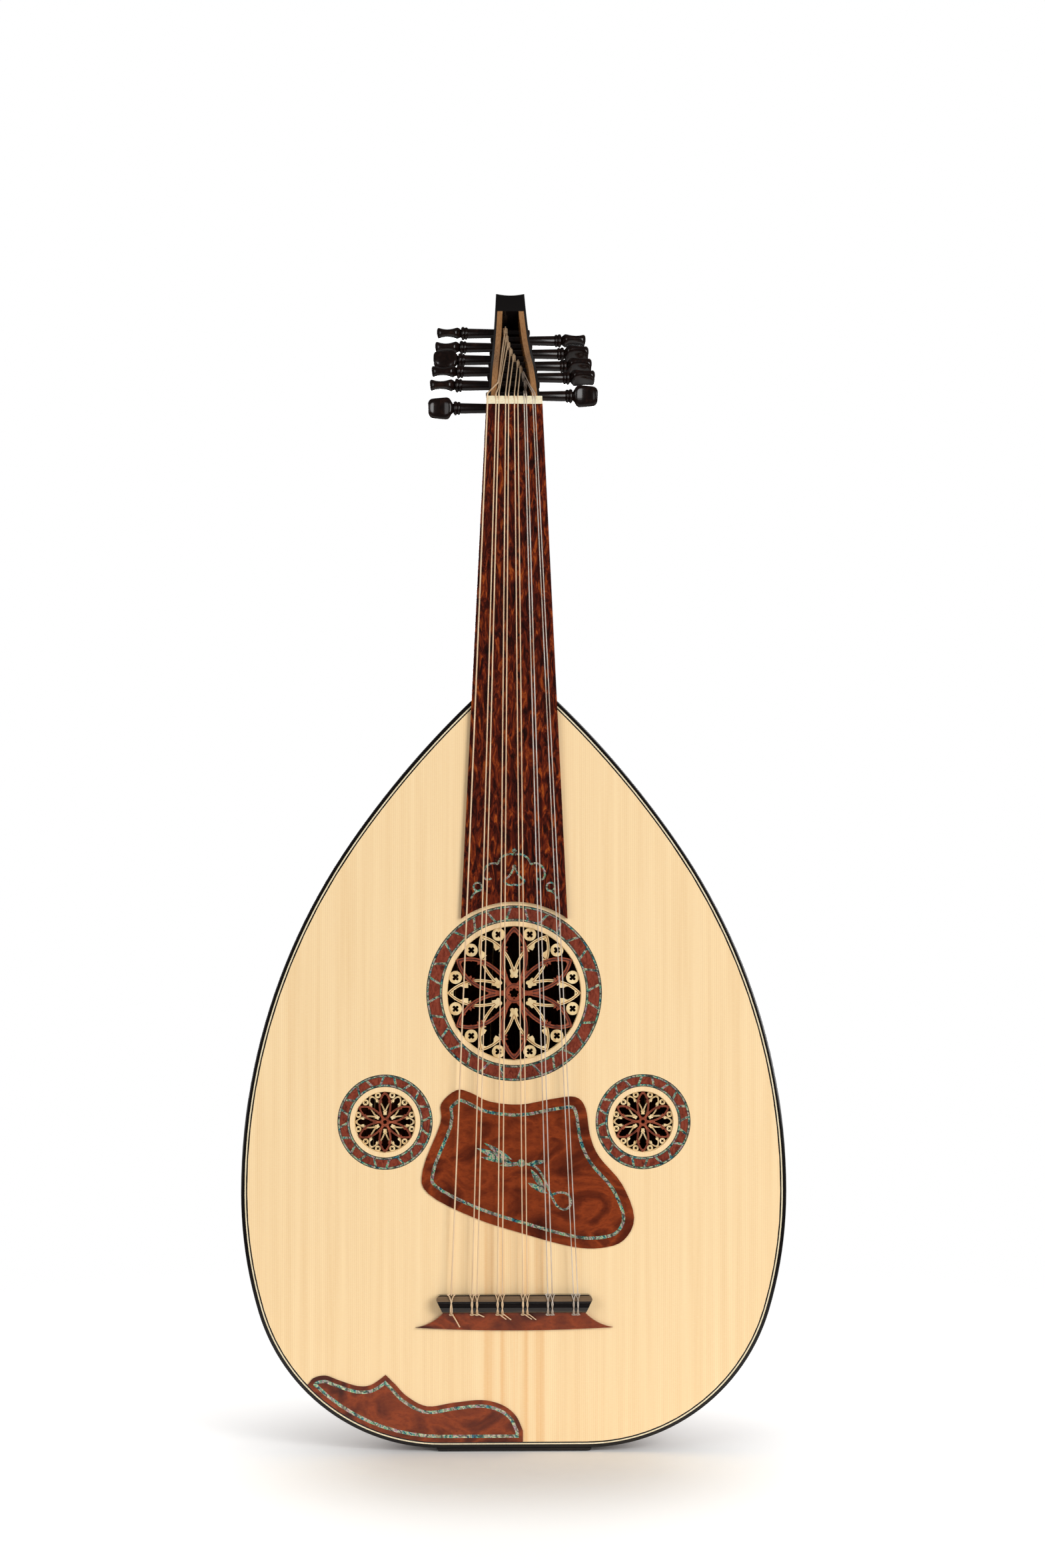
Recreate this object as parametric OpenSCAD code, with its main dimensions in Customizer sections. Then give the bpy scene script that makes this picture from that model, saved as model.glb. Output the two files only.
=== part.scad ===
// Oud: an eleven-string, short-necked lute with a staved bowl, three pierced roses and a
// swept-back pegbox. The origin is on the front plane of the neck, at the nut edge where the
// sounding strings begin. X runs to the treble side, Y runs back into the bowl, Z runs up.

/* [Strings] */
// Sounding length, from the nut to the bridge
scale_length = 585; // [580:1:590]
// Height of the string centres above the soundboard plane at the nut
nut_action = 4.2; // [4:0.1:4.6]
// Height of the string centres above the soundboard plane at the bridge
bridge_action = 7; // [6.5:0.1:7.5]

/* [Body outline] */
// Half of the widest part of the body
body_half = 179.5; // [178:0.5:181]
// Height of the widest part, below the nut
wide_z = -518; // [-520:1:-516]
// Radius of the side above the widest part
side_r = 404; // [400:1:408]
// Turn of the side before it becomes the shoulder, degrees
side_turn = 34.8; // [34.5:0.1:35.1]
// Radius of the long shoulder that runs up to the neck
shoulder_r = 613; // [606:1:620]
// Radius of the side below the widest part
hip_r = 277; // [272:1:282]
// Turn of that lower side, degrees
hip_turn = 16.45; // [16.2:0.05:16.7]
// Radius of the corner that turns into the flat tail
corner_r = 125.6; // [123:0.1:128]

/* [Bowl] */
// Number of staves in the bowl
rib_count = 19; // [19:2:21]
// Thickness of a stave
rib_t = 2.8; // [2.4:0.1:3.2]
// Thickness of the light strip glued between two staves
stringing_t = 0.8; // [0.6:0.1:1]

/* [Soundboard] */
// Thickness of the soundboard
board_t = 2; // [1.8:0.1:2.2]
// Width of the black edge binding
binding_w = 2.4; // [2.2:0.1:2.6]
// Width of each purfling line inside the binding
purfling_w = 0.85; // [0.7:0.05:1]

/* [Roses] */
// Height of the main rose centre, below the nut
rose_z = -387.3; // [-388:0.1:-386]
// Radius of the main rose opening
rose_r = 44.3; // [44:0.1:44.6]
// Height of the two small roses
small_z = -472; // [-473:0.5:-471]
// Distance of the small roses from the centre line
small_x = 84.9; // [84:0.1:86]
// Radius of the small rose openings
small_r = 20.15; // [20:0.05:20.3]

/* [Neck] */
// Half width of the neck at the nut
neck_half = 18.6; // [18.4:0.1:18.8]
// Widening of the half width per millimetre towards the body
neck_taper = 0.0487; // [0.048:0.0001:0.0495]
// Length of the neck from the nut to the body
neck_length = 195; // [194:0.5:196]
// Thickness of the fingerboard
fingerboard_t = 3; // [2.8:0.1:3.2]
// Length of the nut along the strings
nut_length = 5.3; // [5:0.1:5.6]

/* [Pegbox] */
// Tilt of the pegbox front edge at the nut, from vertical, degrees
tilt_nut = 49; // [48:0.5:50]
// Tilt where the edge bends least upright, degrees
tilt_mid = 72.5; // [72:0.5:73]
// Radius of the bend behind the nut
bend_r = 155; // [153:1:157]
// Radius of the upward sweep to the head
sweep_r = 264; // [260:1:268]
// Half width of the pegbox at the nut
pegbox_half = 16.9; // [16.7:0.1:17.1]
// Angle by which each side wall closes towards the head, degrees
wall_lean = 2.2; // [2.1:0.05:2.3]
// Thickness of a side wall
wall_t = 5.2; // [5:0.1:5.4]

/* [Pegs] */
// Distance between neighbouring pegs along the pegbox
peg_pitch = 14; // [13.8:0.1:14.2]
// Radius of a peg shaft where it enters the wall
peg_r = 3.2; // [3.1:0.05:3.3]
// Length of bare shaft between the wall and the collar
peg_reach = 18.6; // [18:0.2:19]
// Length of the flat thumb-piece
knob_length = 17; // [16.5:0.1:17.5]

/* [Hidden] */

$fn = 96;
big_fn = 720;
hull_fn = 32;
eps = 0.01;

// Colours
spruce_colour = "#f2d3a0";
ebony_colour = "#17110f";
walnut_colour = "#3b2119";
maple_colour = "#d9b27c";
burl_colour = "#7a2f16";
snakewood_colour = "#5a1a0c";
bone_colour = "#efe0c0";
shell_colour = "#7fa59a";
string_colour = "#e6d3b4";

// Centres of the outline arcs
side_c = [body_half - side_r, wide_z];
shoulder_c = side_c + (side_r - shoulder_r) * [cos(side_turn), sin(side_turn)];
hip_c = [body_half - hip_r, wide_z];
corner_c = hip_c + (hip_r - corner_r) * [cos(hip_turn), -sin(hip_turn)];
tail_z = corner_c[1] - corner_r;

// Insets of the edge work, measured from the outline
rib_inset = 0.6;
seat_inset = 1.6;
white_inset = binding_w + purfling_w;
field_inset = white_inset + purfling_w;
edge_depth = 1.2;

// Staves
rib_step = 180 / rib_count;
rib_wide = 34;
pole_r = 8;
strip_pole_r = 14;

// Decorations lie this deep in the wood, and raised plates stand this high
inlay_t = 0.8;
guard_t = 0.9;
line_w = 2.1;

// Pegbox curves, drawn in the YZ plane
function back_of(a) = [cos(a), -sin(a)];
front_0 = [0, nut_length];
bend_c = front_0 + bend_r * back_of(tilt_nut);
joint_front = bend_c - bend_r * back_of(tilt_mid);
joint_depth = 23;
joint_back = joint_front + joint_depth * back_of(tilt_mid);
heel_r = 72;
heel_c = joint_back + heel_r * back_of(tilt_mid);
sweep_c = joint_front - sweep_r * back_of(tilt_mid);
belly_r = 272;
belly_c = joint_back - belly_r * back_of(tilt_mid);
bend_length = bend_r * (tilt_mid - tilt_nut) * PI / 180;
wall_end = 160;
head_end = 182;
function tilt_at(s) = s < bend_length
  ? tilt_nut + s / bend_r * 180 / PI
  : tilt_mid - (s - bend_length) / sweep_r * 180 / PI;
function front_at(s) = s < bend_length
  ? bend_c - bend_r * back_of(tilt_at(s))
  : sweep_c + sweep_r * back_of(tilt_at(s));
floor_t = 3.5;
edging_t = 1.4;
edging_w = 3.6;
lean_tilt = 59;
function half_at(s) = pegbox_half - s * sin(wall_lean);

// Pegs, counted from the nut; even counts have their knob on the bass side
peg_count = 11;
peg_start = 11.4;
function peg_s(i) = peg_start + i * peg_pitch;
// Depth of the peg row behind the front edge, at the nut, the middle and the head
peg_set = [19, 8.45, 12.9];
function set_at(u) = peg_set[0] * (1 - u) * (1 - 2 * u)
  + peg_set[1] * 4 * u * (1 - u) + peg_set[2] * u * (2 * u - 1);
function peg_at(i) = front_at(peg_s(i)) + set_at(peg_s(i) / 150) * back_of(tilt_at(peg_s(i)));
function peg_side(i) = i % 2 == 0 ? -1 : 1;
peg_cone = 0.02;
peg_tip = 2.5;
peg_fit = 0.05;
collar_length = 4.8;

// Strings, counted from the bass side, with the peg each one winds on and each peg's string
peg_of = [10, 9, 8, 7, 6, 5, 4, 0, 1, 2, 3];
string_of = [7, 8, 9, 10, 6, 5, 4, 3, 2, 1, 0];
string_nut_x = [-17.6, -12, -10.1, -5.7, -3.7, 0.1, 2.4, 6.5, 8, 12.2, 13.7];
string_bridge_x = [-41.4, -27.8, -24.5, -11, -7.9, 5.6, 8.5, 22, 24.9, 38.9, 41.7];
string_r = [0.5, 0.42, 0.42, 0.4, 0.4, 0.36, 0.36, 0.38, 0.38, 0.34, 0.34];
// Place of each winding across the pegbox, for the strings from the bass side
winding_x = [-3.6, -3, -2, -0.5, 1.4, 4, 5.6, 6.6, 7.8, 8.2, 7];
// How far along a wall's front edge the outer strings cross it, and how far in from it
rest_s = [16, 9, 0, 0, 0, 0, 0, 0, 0, 8, 12];
rest_in = [0.15, 0.65, 0, 0, 0, 0, 0, 0, 0, 0.15, 0.15];
rest_gap = 0.25;
courses = [[0], [1, 2], [3, 4], [5, 6], [7, 8], [9, 10]];
winding_turns = 4;
winding_gap = 0.25;
function shaft_r(i, x) = peg_r + peg_cone * (x * peg_side(i) - half_at(peg_s(i)));
function winding_r(j) = shaft_r(peg_of[j], winding_x[j]) + 0.06;

// Bridge
bar_length = 11.9;
bar_height = 9.4;
bar_half = 51.2;
bar_half_low = 46.8;
hole_r = 0.8;
base_length = 12;
base_half = 65.1;

// ---------------------------------------------------------------- outline helpers

function arc_points(c, r, from, to, steps) = [
  for (k = [0:steps]) c + r * [cos(from + (to - from) * k / steps), sin(from + (to - from) * k / steps)]
];

// Treble side of the body outline from the neck down to the tail, set in by a margin
function side_points(inset) = concat(
  arc_points(shoulder_c, shoulder_r - inset,
    asin((-neck_length - shoulder_c[1]) / (shoulder_r - inset)), side_turn, 9),
  arc_points(side_c, side_r - inset, side_turn * 0.9, 0, 10),
  arc_points(hip_c, hip_r - inset, -hip_turn / 4, -hip_turn, 4),
  arc_points(corner_c, corner_r - inset, -hip_turn - 5, -90, 14)
);
function reversed(p) = [for (k = [len(p) - 1:-1:0]) p[k]];
function mirrored(p) = [for (q = p) [-q[0], q[1]]];

// Treble half of the outline, from the centre line outwards
module half_outline(inset) {
  polygon(concat([[0, -neck_length]], side_points(inset), [[0, tail_z + inset]]));
}

module body_outline(inset) {
  right = side_points(inset);
  polygon(concat(right, reversed(mirrored(right))));
}

module body_ring(outer, inner) {
  difference() {
    body_outline(outer);
    body_outline(inner);
  }
}

// Turns a front view into a plate: its front face is at y = front, its back at front + t
module plate(front, t) {
  translate([0, front + t, 0]) rotate([90, 0, 0]) linear_extrude(t) children();
}

// Turns a YZ profile into a solid centred on x = 0
module side_profile(width) {
  rotate([90, 0, 90]) translate([0, 0, -width / 2]) linear_extrude(width) children();
}

// Closed smooth curve through the given points
function blend_point(a, b, c, d, t) = 0.5 * (2 * b + (c - a) * t
  + (2 * a - 5 * b + 4 * c - d) * t * t + (3 * b - a - 3 * c + d) * t * t * t);
function closed_curve(p, steps = 4) = [
  for (i = [0:len(p) - 1], k = [0:steps - 1])
    blend_point(p[(i + len(p) - 1) % len(p)], p[i], p[(i + 1) % len(p)], p[(i + 2) % len(p)], k / steps)
];
function open_curve(p, steps = 5) = [
  for (i = [0:len(p) - 2], k = [0:steps - 1])
    blend_point(p[max(i - 1, 0)], p[i], p[i + 1], p[min(i + 2, len(p) - 1)], k / steps)
];

// ---------------------------------------------------------------- soundboard

module rose_openings() {
  translate([0, rose_z]) circle(r = rose_r);
  for (side = [-1, 1]) translate([side * small_x, small_z]) circle(r = small_r);
}

module rosette_annuli() {
  translate([0, rose_z]) difference() {
    circle(r = main_ring[1]);
    circle(r = main_ring[0]);
  }
  for (side = [-1, 1]) translate([side * small_x, small_z]) difference() {
    circle(r = small_ring[1]);
    circle(r = small_ring[0]);
  }
}

// One book-matched half: full outline below, set in above to seat the edge work
module soundboard_half(side) {
  color(spruce_colour) difference() {
    intersection() {
      union() {
        plate(edge_depth, board_t - edge_depth) body_outline(seat_inset);
        plate(0, edge_depth) body_outline(field_inset);
      }
      translate([side > 0 ? 0 : -200, -1, tail_z]) cube([200, 10, 500]);
    }
    plate(-1, board_t + 2) rose_openings();
    plate(-1, 1 + inlay_t) rosette_annuli();
  }
}

module soundboard_left() {
  soundboard_half(-1);
}

module soundboard_right() {
  soundboard_half(1);
}

brace_z = [-237, -285, -329, -443.5, -505, -552, -640];
brace_t = 6;
brace_h = 14;
module soundboard_braces() {
  color(spruce_colour) for (z = brace_z) intersection() {
    plate(board_t, brace_h) body_outline(rib_inset + rib_t + 2);
    translate([-200, 0, z - brace_t / 2]) cube([400, 40, brace_t]);
  }
}

// Black outer edge and the thin black line inside the white one
module binding() {
  color(ebony_colour) {
    plate(0, edge_depth) body_ring(0, binding_w);
    plate(edge_depth, board_t - edge_depth) body_ring(0, seat_inset);
    plate(0, edge_depth) body_ring(white_inset, field_inset);
  }
}

module purfling() {
  color(bone_colour) plate(0, edge_depth) body_ring(binding_w, white_inset);
}

// ---------------------------------------------------------------- bowl

// Lengthwise section of the bowl wall, from the axis outwards
module wall_band() {
  difference() {
    half_outline(rib_inset);
    half_outline(rib_inset + rib_t);
  }
}

// Space between the flat sides of one stave, less half a strip at each inner seam
module stave_wedge(low_gap, high_gap) {
  half = rib_step / 2;
  far = 220;
  low = [far, -far * tan(half) + low_gap / cos(half)];
  high = [far, far * tan(half) - high_gap / cos(half)];
  low_0 = [low_gap / sin(half), 0];
  high_0 = [high_gap / sin(half), 0];
  translate([0, 0, tail_z - 1]) linear_extrude(600) polygon([low_0, low, high, high_0]);
}

// A stave is bent along its length and flat across its width
module stave(i) {
  low_gap = i == 0 ? 0 : stringing_t / 2;
  high_gap = i == rib_count - 1 ? 0 : stringing_t / 2;
  translate([0, board_t, 0]) rotate([0, 0, (i + 0.5) * rib_step]) intersection() {
    translate([0, rib_wide / 2, 0]) rotate([90, 0, 0]) linear_extrude(rib_wide) difference() {
      wall_band();
      translate([-1, tail_z]) square([pole_r + 1, 40]);
    }
    stave_wedge(low_gap, high_gap);
  }
}

module bowl_ribs() {
  color(walnut_colour) for (i = [0:rib_count - 1]) stave(i);
}

module rib_stringing() {
  color(maple_colour) translate([0, board_t, 0]) for (i = [1:rib_count - 1])
    rotate([0, 0, i * rib_step]) translate([0, stringing_t / 2, 0]) rotate([90, 0, 0])
      linear_extrude(stringing_t) difference() {
        wall_band();
        translate([-1, tail_z]) square([strip_pole_r + 1, 40]);
      }
}

block_inset = rib_inset + rib_t + 0.1;
neck_block_length = 36;
tail_block_length = 16;
tail_block_r = 58;

// Solid block turned to the inside of the bowl, between two heights
module turned_block(low, high, radius) {
  translate([0, board_t, 0]) rotate_extrude(angle = 180) intersection() {
    half_outline(block_inset);
    translate([0, low]) square([radius, high - low]);
  }
}

module neck_block() {
  color(maple_colour) turned_block(-neck_length - neck_block_length, -neck_length, 80);
}

module tail_block() {
  color(maple_colour) turned_block(tail_z, tail_z + block_inset + tail_block_length, tail_block_r);
}

clasp_half = 51;
clasp_deep = 40;
clasp_t = 1.8;
module tail_clasp() {
  color(ebony_colour) translate([0, 0, tail_z - clasp_t]) intersection() {
    linear_extrude(clasp_t) union() {
      intersection() {
        translate([0, -clasp_half + clasp_deep]) circle(r = clasp_half);
        translate([-60, 0]) square([120, 60]);
      }
      translate([-clasp_half, 0]) square([2 * clasp_half, 12]);
    }
    translate([0, 0, -2]) cylinder(h = 4 + clasp_t, r1 = clasp_half - 3, r2 = clasp_half + 2.2);
  }
}

// ---------------------------------------------------------------- roses

main_ring = [47.7, 57.4];
small_ring = [23.6, 30.9];
fret_t = 1.2;
fret_front = 0.5;
rim_out = 3.5;

// Edge of one strand of a pointed petal that stands along +Y, set off from its centre line:
// an arc down from the tip, then a flatter arc to the foot, tangent where the petal is widest
function strand_edge(half, mid, up_r, low_r, off, foot) = concat(
  arc_points([half - up_r, mid], up_r + off, acos((up_r - half) / (up_r + off)), 0, 7),
  arc_points([half - low_r, mid], low_r + off, -2, asin((foot - mid) / (low_r + off)), 3)
);

function without_first(p) = [for (k = [1:len(p) - 1]) p[k]];

// Both strands of a petal in one piece
module petal_strands(half, mid, up_r, low_r, w, foot) {
  outer = strand_edge(half, mid, up_r, low_r, w / 2, foot);
  inner = strand_edge(half, mid, up_r, low_r, -w / 2, foot);
  polygon(concat(reversed(outer), without_first(mirrored(outer)),
    reversed(mirrored(inner)), without_first(inner)));
}

// Inside of the pointed head of a petal above a given height
module petal_head(half, mid, up_r, from) {
  intersection() {
    translate([half - up_r, mid]) circle(r = up_r, $fn = 180);
    translate([up_r - half, mid]) circle(r = up_r, $fn = 180);
    translate([-20, from]) square([40, 40]);
  }
}

module quatrefoil(lobe, reach) {
  for (a = [45:90:315]) rotate(a) translate([reach, 0]) circle(r = lobe, $fn = 32);
  circle(r = reach * 0.8, $fn = 32);
}

// Barbed cusp with a drilled dot, on the inner side of a strand
module cusp(x, y, size, turn) {
  for (side = [0, 1]) mirror([side, 0]) translate([x, y]) rotate(turn) difference() {
    polygon([[0.4, -size], [0.4, size], [-size * 0.9, size * 0.75], [-size * 0.35, -size * 0.1],
      [-size * 1.05, -size * 0.7]]);
    translate([-size * 0.1, -size * 0.15]) circle(r = size * 0.24, $fn = 24);
  }
}

// Upper fretwork in the size of the main rose: a hub, six stems and six lancet petals
module fret_top() {
  difference() {
    circle(r = 6.5);
    for (a = [90:72:378]) rotate(a) translate([1.9, 0]) circle(r = 1.25, $fn = 32);
    circle(r = 1.6, $fn = 32);
    for (a = [54:72:342]) rotate(a) translate([3.55, 0]) circle(r = 0.5, $fn = 24);
  }
  for (a = [0:60:300]) rotate(a) {
    rotate(-30) polygon([[-1.9, 6], [1.9, 6], [1.5, 9], [1.9, 13], [0, 17.5], [-1.9, 13], [-1.5, 9]]);
    petal_strands(7.9, 24.5, 24.6, 38, 2.4, 11);
    difference() {
      petal_head(7.9, 24.5, 24.6, 32.6);
      translate([0, 36]) circle(r = 3.9);
      translate([-2.6, 30.5]) square([5.2, 5]);
      for (side = [-1, 1]) translate([side * 3.9, 33]) circle(r = 1.7, $fn = 32);
    }
    cusp(6, 29.2, 2, 10);
  }
}

// Lower fretwork: six round-headed petals on bone-ended stems, and twelve pierced roundels
module fret_under() {
  for (a = [30:60:330]) rotate(a) {
    petal_strands(8.2, 23.5, 27.2, 44, 1.8, 12.5);
    difference() {
      petal_head(8.2, 23.5, 27.2, 30.2);
      translate([0, 35.6]) circle(r = 4.4);
      translate([-3.4, 29]) square([6.8, 4]);
      translate([0, 40.9]) circle(r = 0.45, $fn = 24);
    }
    cusp(6.4, 30.2, 2, 14);
  }
  for (a = [0:60:300]) rotate(a) {
    translate([-0.9, 11.5]) square([1.8, 5.5]);
    for (side = [-1, 1]) {
      translate([side * 1.25, 11.3]) circle(r = 1.35, $fn = 32);
      rotate(side * -1) translate([side * 1.2, 13.5]) rotate(side * -16) square([1.9, 4.5], center = true);
    }
  }
  for (a = [15:30:345]) rotate(a) translate([39.9, 0]) difference() {
    circle(r = 4.25);
    rotate(-a) quatrefoil(0.95, 1.45);
  }
}

module fret_rim(r) {
  difference() {
    circle(r = r + rim_out);
    circle(r = r - 0.5);
  }
}

module rose_layer(x, z, r, upper) {
  k = r / rose_r;
  if (upper) {
    plate(fret_front, fret_t) translate([x, z]) scale(k) fret_top();
  } else {
    plate(fret_front + fret_t, fret_t) translate([x, z]) scale(k) fret_under();
    plate(board_t, fret_front + 2 * fret_t - board_t) translate([x, z]) fret_rim(r);
  }
}

module main_rose_top() {
  color(burl_colour) rose_layer(0, rose_z, rose_r, true);
}

module main_rose_under() {
  color(bone_colour) rose_layer(0, rose_z, rose_r, false);
}

module small_roses_top() {
  color(burl_colour) for (side = [-1, 1]) rose_layer(side * small_x, small_z, small_r, true);
}

module small_roses_under() {
  color(bone_colour) for (side = [-1, 1]) rose_layer(side * small_x, small_z, small_r, false);
}

shell_ring_w = 1.15;
spoke_w = 1.5;

module ring_band(outer, inner) {
  difference() {
    circle(r = outer);
    circle(r = inner);
  }
}

// Slanted spokes that lean in turn, between the two shell circles of a rosette
module rosette_spokes(ring, spokes) {
  mid = (ring[0] + ring[1]) / 2;
  reach = ring[1] - ring[0] - shell_ring_w + 0.4;
  for (i = [0:spokes - 1]) rotate(i * 360 / spokes + 4) translate([mid, 0])
    rotate(i % 2 == 0 ? 24 : -24) square([reach, spoke_w], center = true);
}

module rosette_shell_shape(ring, spokes) {
  ring_band(ring[1], ring[1] - shell_ring_w);
  ring_band(ring[0] + shell_ring_w, ring[0]);
  rosette_spokes(ring, spokes);
}

module rosette_wood_shape(ring, spokes) {
  difference() {
    ring_band(ring[1] - shell_ring_w, ring[0] + shell_ring_w);
    rosette_spokes(ring, spokes);
  }
}

main_spokes = 28;
small_spokes = 20;
module rosette_shell() {
  color(shell_colour) {
    plate(0, inlay_t) translate([0, rose_z]) rosette_shell_shape(main_ring, main_spokes);
    for (side = [-1, 1])
      plate(0, inlay_t) translate([side * small_x, small_z]) rosette_shell_shape(small_ring, small_spokes);
  }
}

module rosette_rings() {
  color(burl_colour) {
    plate(0, inlay_t) translate([0, rose_z]) rosette_wood_shape(main_ring, main_spokes);
    for (side = [-1, 1])
      plate(0, inlay_t) translate([side * small_x, small_z]) rosette_wood_shape(small_ring, small_spokes);
  }
}

// ---------------------------------------------------------------- guards

pickguard_points = [
  [-38, -451], [-48, -460], [-48.5, -473], [-60, -503], [-56.5, -519], [-26, -535], [8, -546],
  [38, -554], [57, -555], [72, -550], [79, -535], [71, -513], [56, -495], [50, -481],
  [47, -463], [40, -455.5], [24, -457], [4, -460.5], [-16, -458.5], [-29, -452.5]
];

module pickguard_outline() {
  polygon(closed_curve(pickguard_points));
}

corner_left = [[-150, -646], [-137.5, -645.5], [-132, -640], [-124, -638.3], [-115, -641.5],
  [-103, -645.2], [-94, -644.5], [-84.5, -638]];
corner_right = [[-84.5, -638], [-78, -644.5], [-70, -652.5], [-57, -658.8], [-40, -656.5],
  [-21.5, -654.8], [-8, -658], [1, -665], [5.8, -675]];

module corner_guard_outline() {
  intersection() {
    polygon(concat(open_curve(corner_left), open_curve(corner_right), [[5.8, -675], [5.8, -700], [-150, -700]]));
    body_outline(field_inset);
  }
}

// Line of even width that follows an outline at a set distance inside it
module inset_line(distance) {
  difference() {
    offset(delta = -distance) children();
    offset(delta = -distance - line_w) children();
  }
}

// Leaf or petal with two pointed ends
module leaf(a, b, bulge) {
  d = b - a;
  half = norm(d) / 2;
  r = (half * half + bulge * bulge) / (2 * bulge);
  translate((a + b) / 2) rotate(atan2(d[1], d[0])) intersection() {
    translate([0, r - bulge]) circle(r = r);
    translate([0, bulge - r]) circle(r = r);
  }
}

// Curved stem of even width
module stem(points, w) {
  path = open_curve(points, 4);
  for (i = [0:len(path) - 2]) {
    d = path[i + 1] - path[i];
    translate(path[i]) rotate(atan2(d[1], d[0])) translate([-0.15, -w / 2]) square([norm(d) + 0.3, w]);
  }
}

// Tulip spray across the pickguard
module tulip() {
  leaf([-25, -489], [-2, -498], 2);
  leaf([-20, -485.5], [-1, -497], 1.5);
  leaf([-22, -495], [0, -499], 1.6);
  leaf([-10, -500.5], [7, -499], 1.4);
  translate([4.5, -499]) circle(r = 2.6);
  stem([[5, -499], [14, -501.5], [19, -508], [23, -517], [28, -527], [34, -529.5], [37.5, -525],
    [35, -519.5], [29, -518.5], [22, -521]], 1.5);
  leaf([8, -500], [21, -497.5], 1.6);
  leaf([11, -503], [20, -517], 2);
  leaf([9, -512], [22, -519], 1.8);
}

module pickguard() {
  color(burl_colour) difference() {
    plate(-guard_t, guard_t) pickguard_outline();
    plate(-guard_t - 1, 1 + guard_t - 0.2) inset_line(5.8) pickguard_outline();
    plate(-guard_t - 1, 1 + guard_t - 0.2) tulip();
  }
}

module corner_guard() {
  color(burl_colour) difference() {
    plate(-guard_t, guard_t) corner_guard_outline();
    plate(-guard_t - 1, 1 + guard_t - 0.2) inset_line(2.8) corner_guard_outline();
  }
}

module guard_shell() {
  color(shell_colour) {
    plate(-guard_t, guard_t - 0.2) inset_line(5.8) pickguard_outline();
    plate(-guard_t, guard_t - 0.2) inset_line(2.8) corner_guard_outline();
    plate(-guard_t, guard_t - 0.2) tulip();
  }
}

// ---------------------------------------------------------------- bridge

bar_z = -scale_length;

// Front view of the bar: rounded upper corners, sides that draw in towards the foot
module bar_outline() {
  corner_r = 3;
  right = arc_points([bar_half - corner_r, bar_z - corner_r], corner_r, 90, 0, 8);
  low_z = bar_z - bar_length;
  polygon(concat(right, [[bar_half_low, low_z], [-bar_half_low, low_z]], reversed(mirrored(right))));
}

module bridge_bar() {
  color(ebony_colour) difference() {
    intersection() {
      side_profile(2 * bar_half) union() {
        polygon([[0, bar_z], [-6, bar_z], [-bar_height + 0.6, bar_z - 3.4], [-bar_height + 0.6, bar_z - 5],
          [-4, bar_z - bar_length], [0, bar_z - bar_length]]);
        translate([-bar_height + 4.1, bar_z - bar_length + 4.1]) circle(r = 4.1);
        translate([-bar_height + 4.1, bar_z - bar_length]) square([5, 6]);
      }
      plate(-bar_height, bar_height) bar_outline();
    }
    for (x = string_bridge_x) translate([x, -bridge_action + 1, bar_z - bar_length - 1])
      cylinder(h = bar_length + 2, r = hole_r, $fn = 32);
  }
}

// Low burl foot whose ends sweep out to points
module bridge_base() {
  low_z = bar_z - bar_length - base_length;
  top_z = bar_z - bar_length;
  flare_r = 31.6;
  bow_r = 1050;
  color(burl_colour) intersection() {
    side_profile(2 * base_half) polygon([[0, top_z], [-4.4, top_z], [-1.4, low_z - 1], [0, low_z - 1]]);
    plate(-6, 6) difference() {
      intersection() {
        translate([-base_half, low_z - 2]) square([2 * base_half, base_length + 2]);
        translate([0, low_z + bow_r]) circle(r = bow_r, $fn = big_fn);
      }
      for (side = [-1, 1]) translate([side * (bar_half_low + 23.2), top_z + 21.2])
        circle(r = flare_r, $fn = big_fn);
    }
  }
}

// ---------------------------------------------------------------- neck

function neck_at(z) = neck_half - neck_taper * z;

module neck_taper_outline(low, high) {
  polygon([[-neck_at(low), low], [neck_at(low), low], [neck_at(high), high], [-neck_at(high), high]]);
}

// Half-round tapered neck, cut square to the pegbox at its upper end
module neck() {
  color(walnut_colour) difference() {
    union() {
      plate(0, board_t) neck_taper_outline(-neck_length, nut_length);
      translate([0, board_t, -neck_length]) intersection() {
        cylinder(h = neck_length + nut_length, r1 = neck_at(-neck_length), r2 = neck_at(nut_length));
        translate([-50, -eps, -1]) cube([100, 60, neck_length + nut_length + 2]);
      }
    }
    translate([0, front_0[0], front_0[1]]) rotate([-tilt_nut, 0, 0]) translate([-50, -60, 0]) cube([100, 120, 60]);
  }
}

fingerboard_end_r = 60.3;
module fingerboard() {
  color(snakewood_colour) difference() {
    plate(-fingerboard_t, fingerboard_t) difference() {
      neck_taper_outline(rose_z + 20, 0);
      translate([0, rose_z]) circle(r = fingerboard_end_r, $fn = 180);
    }
    plate(-fingerboard_t - 1, 1 + inlay_t) fingerboard_motif();
  }
}

// Thin ring line between two points, bulging to one side
module arc_line(a, b, bulge, w) {
  d = b - a;
  half = norm(d) / 2;
  r = (half * half + bulge * bulge) / (2 * abs(bulge));
  side = sign(bulge);
  translate((a + b) / 2) rotate(atan2(d[1], d[0])) translate([0, side * (abs(bulge) - r)]) intersection() {
    difference() {
      circle(r = r + w / 2);
      circle(r = r - w / 2);
    }
    polygon([[0, 0], [-half * 3, side * (r - abs(bulge)) * 3], [-half * 3, side * r * 6], [half * 3, side * r * 6],
      [half * 3, side * (r - abs(bulge)) * 3]]);
  }
}

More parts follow.
